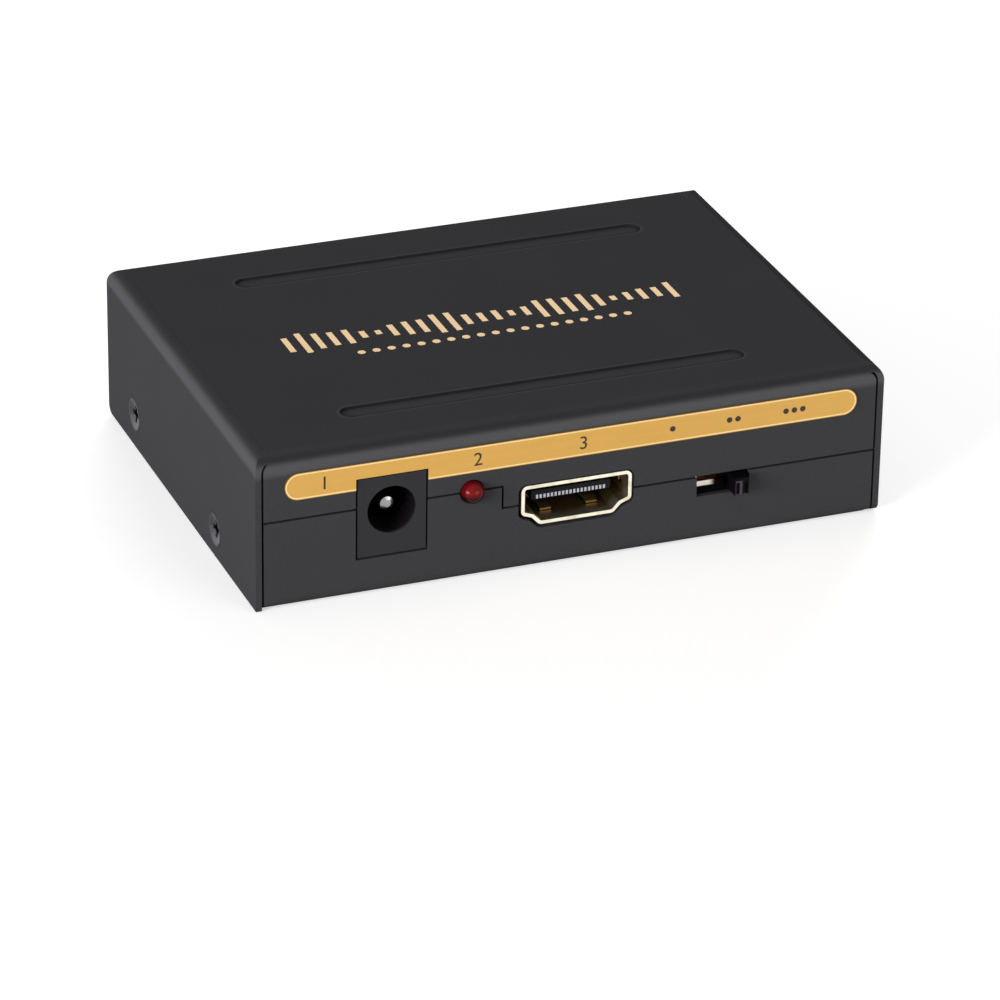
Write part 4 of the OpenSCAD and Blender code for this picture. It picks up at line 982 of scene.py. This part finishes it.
class AUDIO_BOX_OT_optical_port(bpy.types.Operator):
    """Finish the optical port, its shutter, hinge and light"""

    bl_idname = "audio_box.optical_port"
    bl_label = "Optical port"

    def execute(self, context):
        wear(["optical_housing"], port_plastic("port_plastic"))
        wear(["optical_shutter"], shutter_plastic("shutter_plastic"))
        wear(["shutter_pin", "shutter_spring"], metal("spring_steel", (0.62, 0.62, 0.64), 0.3))
        wear(["light_emitter"], moulded("emitter_plastic", display(26, 24, 26), 0.3, gloss=0.6))
        wear(["emitter_leads"], metal("emitter_tin", (0.72, 0.72, 0.73), 0.35))
        return {"FINISHED"}


class AUDIO_BOX_OT_phono_jacks(bpy.types.Operator):
    """Finish the phono jacks: block, shells, insulators and contacts"""

    bl_idname = "audio_box.phono_jacks"
    bl_label = "Phono jacks"

    def execute(self, context):
        shells = ["phono_left_shell", "phono_right_shell"]
        wear(["phono_block"], moulded("phono_block_plastic", display(26, 26, 28), 0.45))
        wear(shells, turned_nickel("phono_nickel", shells))
        wear(["phono_left_insulator"], moulded(
            "white_insulator", display(212, 212, 210), 0.3, depth=0.002 * MM, gloss=0.3, coat=0.1))
        wear(["phono_right_insulator"], moulded(
            "red_insulator", display(202, 60, 50), 0.3, depth=0.002 * MM, gloss=0.3, coat=0.1))
        wear(["phono_left_contact", "phono_right_contact"],
             metal("sleeve_plate", (0.80, 0.66, 0.36), 0.26))
        return {"FINISHED"}


class AUDIO_BOX_OT_board(bpy.types.Operator):
    """Finish the circuit board and what is fixed and soldered to it"""

    bl_idname = "audio_box.board"
    bl_label = "Circuit board"

    def execute(self, context):
        wear(["circuit_board"], laminate("board_laminate"))
        wear(["board_standoffs"], metal("standoff_brass", (0.78, 0.60, 0.28), 0.28))
        wear(["board_screws"], metal("board_screw_steel", (0.70, 0.70, 0.72), 0.3))
        wear(["main_processor", "audio_converter", "voltage_regulator"],
             moulded("chip_plastic", display(34, 34, 36), 0.55, grain=0.1 * MM))
        wear(["processor_leads", "converter_leads"], metal("chip_tin", (0.74, 0.74, 0.75), 0.36))
        wear(["crystal", "filter_capacitors"], metal("can_metal", (0.76, 0.77, 0.79), 0.26))
        wear(["power_inductor"], moulded("ferrite", display(62, 62, 66), 0.6, depth=0.02 * MM))
        wear(["chip_parts"], moulded("ceramic", display(166, 136, 98), 0.5, grain=0.3 * MM))
        return {"FINISHED"}


def lamp(name, power, size, place):
    """A soft lamp that looks at the box."""
    light = bpy.data.lights.new(name, "AREA")
    light.energy = power
    light.shape = "RECTANGLE"
    light.size, light.size_y = size
    holder = placed(name, light)
    holder.location = place
    holder.rotation_euler = (-Vector(place)).to_track_quat("-Z", "Y").to_euler()


def seen_directly(g):
    """One for what the camera sees, itself or in a gloss or through glass."""
    path = "ShaderNodeLightPath"
    camera, glossy, through = (
        g.node(path, out=name) for name in ("Is Camera Ray", "Is Glossy Ray", "Is Transmission Ray")
    )
    return (camera + glossy + through).at_most(1.0)


class AUDIO_BOX_OT_stage(bpy.types.Operator):
    """Lay the floor, light the studio and set the camera"""

    bl_idname = "audio_box.stage"
    bl_label = "Studio"

    def execute(self, context):
        look = context.scene.studio_look
        self.lay_floor(look)
        self.light(look)
        self.aim_camera(look)
        context.scene.view_settings.view_transform = "Standard"
        return {"FINISHED"}

    def lay_floor(self, look):
        def build(made):
            bmesh.ops.create_grid(made, x_segments=1, y_segments=1, size=FLOOR_HALF_W)

        floor = mesh_piece("floor", build)
        f = Finish("floor_paper")
        paper = f.noise(3 * MM, detail=3.0)
        tone = f.mix(paper * 0.05, tuple(look.floor), (0.97, 0.97, 0.97))
        glow = (look.paper_glow,) * 3
        f.surface(Base_Color=tone, Roughness=0.9, Specular_ior_Level=0.1, Emission_Strength=1.0,
                  Emission_Color=f.mix(seen_directly(f), (0, 0, 0), glow))
        floor.data.materials.append(f.material)

    def light(self, look):
        world = bpy.data.worlds.new("studio")
        world.use_nodes = True
        g = Graph(world.node_tree)
        g.tree.nodes.clear()
        room = g.node("ShaderNodeBackground", inputs={"Color": (1, 1, 1, 1), "Strength": look.sky})
        white = g.node("ShaderNodeBackground", inputs={"Color": (1, 1, 1, 1), "Strength": 1.0})
        both = g.node("ShaderNodeMixShader", inputs={0: seen_directly(g), 1: room, 2: white})
        g.node("ShaderNodeOutputWorld", inputs={"Surface": both})
        bpy.context.scene.world = world
        for name, size, place in LAMPS:
            lamp(name, getattr(look, name + "_light"), size, place)

    def aim_camera(self, look):
        a, e = look.azimuth, look.elevation
        back = Vector((math.sin(a) * math.cos(e), -math.cos(a) * math.cos(e), math.sin(e)))
        across = Vector((0, 0, 1)).cross(back).normalized()
        turn = Matrix((across, back.cross(across), back)).transposed()
        turn = turn @ Matrix.Rotation(look.roll, 3, "Z")
        camera = bpy.data.cameras.new("camera")
        camera.lens = look.lens
        camera.sensor_width = 36.0
        camera.clip_start = 0.01
        camera.clip_end = 50.0
        holder = placed("camera", camera)
        place = turn @ Vector((*CAMERA_SHIFT, look.distance))
        holder.matrix_world = Matrix.Translation(place) @ turn.to_4x4()
        bpy.context.scene.camera = holder


STEPS = (
    AUDIO_BOX_OT_case, AUDIO_BOX_OT_strips, AUDIO_BOX_OT_meter, AUDIO_BOX_OT_power_inlet,
    AUDIO_BOX_OT_lights, AUDIO_BOX_OT_video_sockets, AUDIO_BOX_OT_mode_switch,
    AUDIO_BOX_OT_optical_port, AUDIO_BOX_OT_phono_jacks, AUDIO_BOX_OT_board, AUDIO_BOX_OT_stage,
)
LOOKS = {
    "case_look": CaseLook,
    "print_look": PrintLook,
    "meter_look": MeterLook,
    "studio_look": StudioLook,
}


class AUDIO_BOX_PT_panel(bpy.types.Panel):
    """The box's looks and the steps that make them"""

    bl_idname = "AUDIO_BOX_PT_panel"
    bl_label = "Audio box"
    bl_space_type = "VIEW_3D"
    bl_region_type = "UI"
    bl_category = "Audio box"

    def draw(self, context):
        for step in STEPS:
            self.layout.operator(step.bl_idname)
        for name, group in LOOKS.items():
            box = self.layout.box()
            for value in group.__annotations__:
                box.prop(getattr(context.scene, name), value)


def register():
    for group in (*LOOKS.values(), *STEPS, AUDIO_BOX_PT_panel):
        bpy.utils.register_class(group)
    for name, group in LOOKS.items():
        setattr(bpy.types.Scene, name, PointerProperty(type=group))


def unregister():
    for name in LOOKS:
        delattr(bpy.types.Scene, name)
    for group in (AUDIO_BOX_PT_panel, *reversed(STEPS), *LOOKS.values()):
        bpy.utils.unregister_class(group)


def main():
    register()
    for step in STEPS:
        getattr(bpy.ops.audio_box, step.bl_idname.split(".")[1])()


if __name__ == "__main__":
    main()
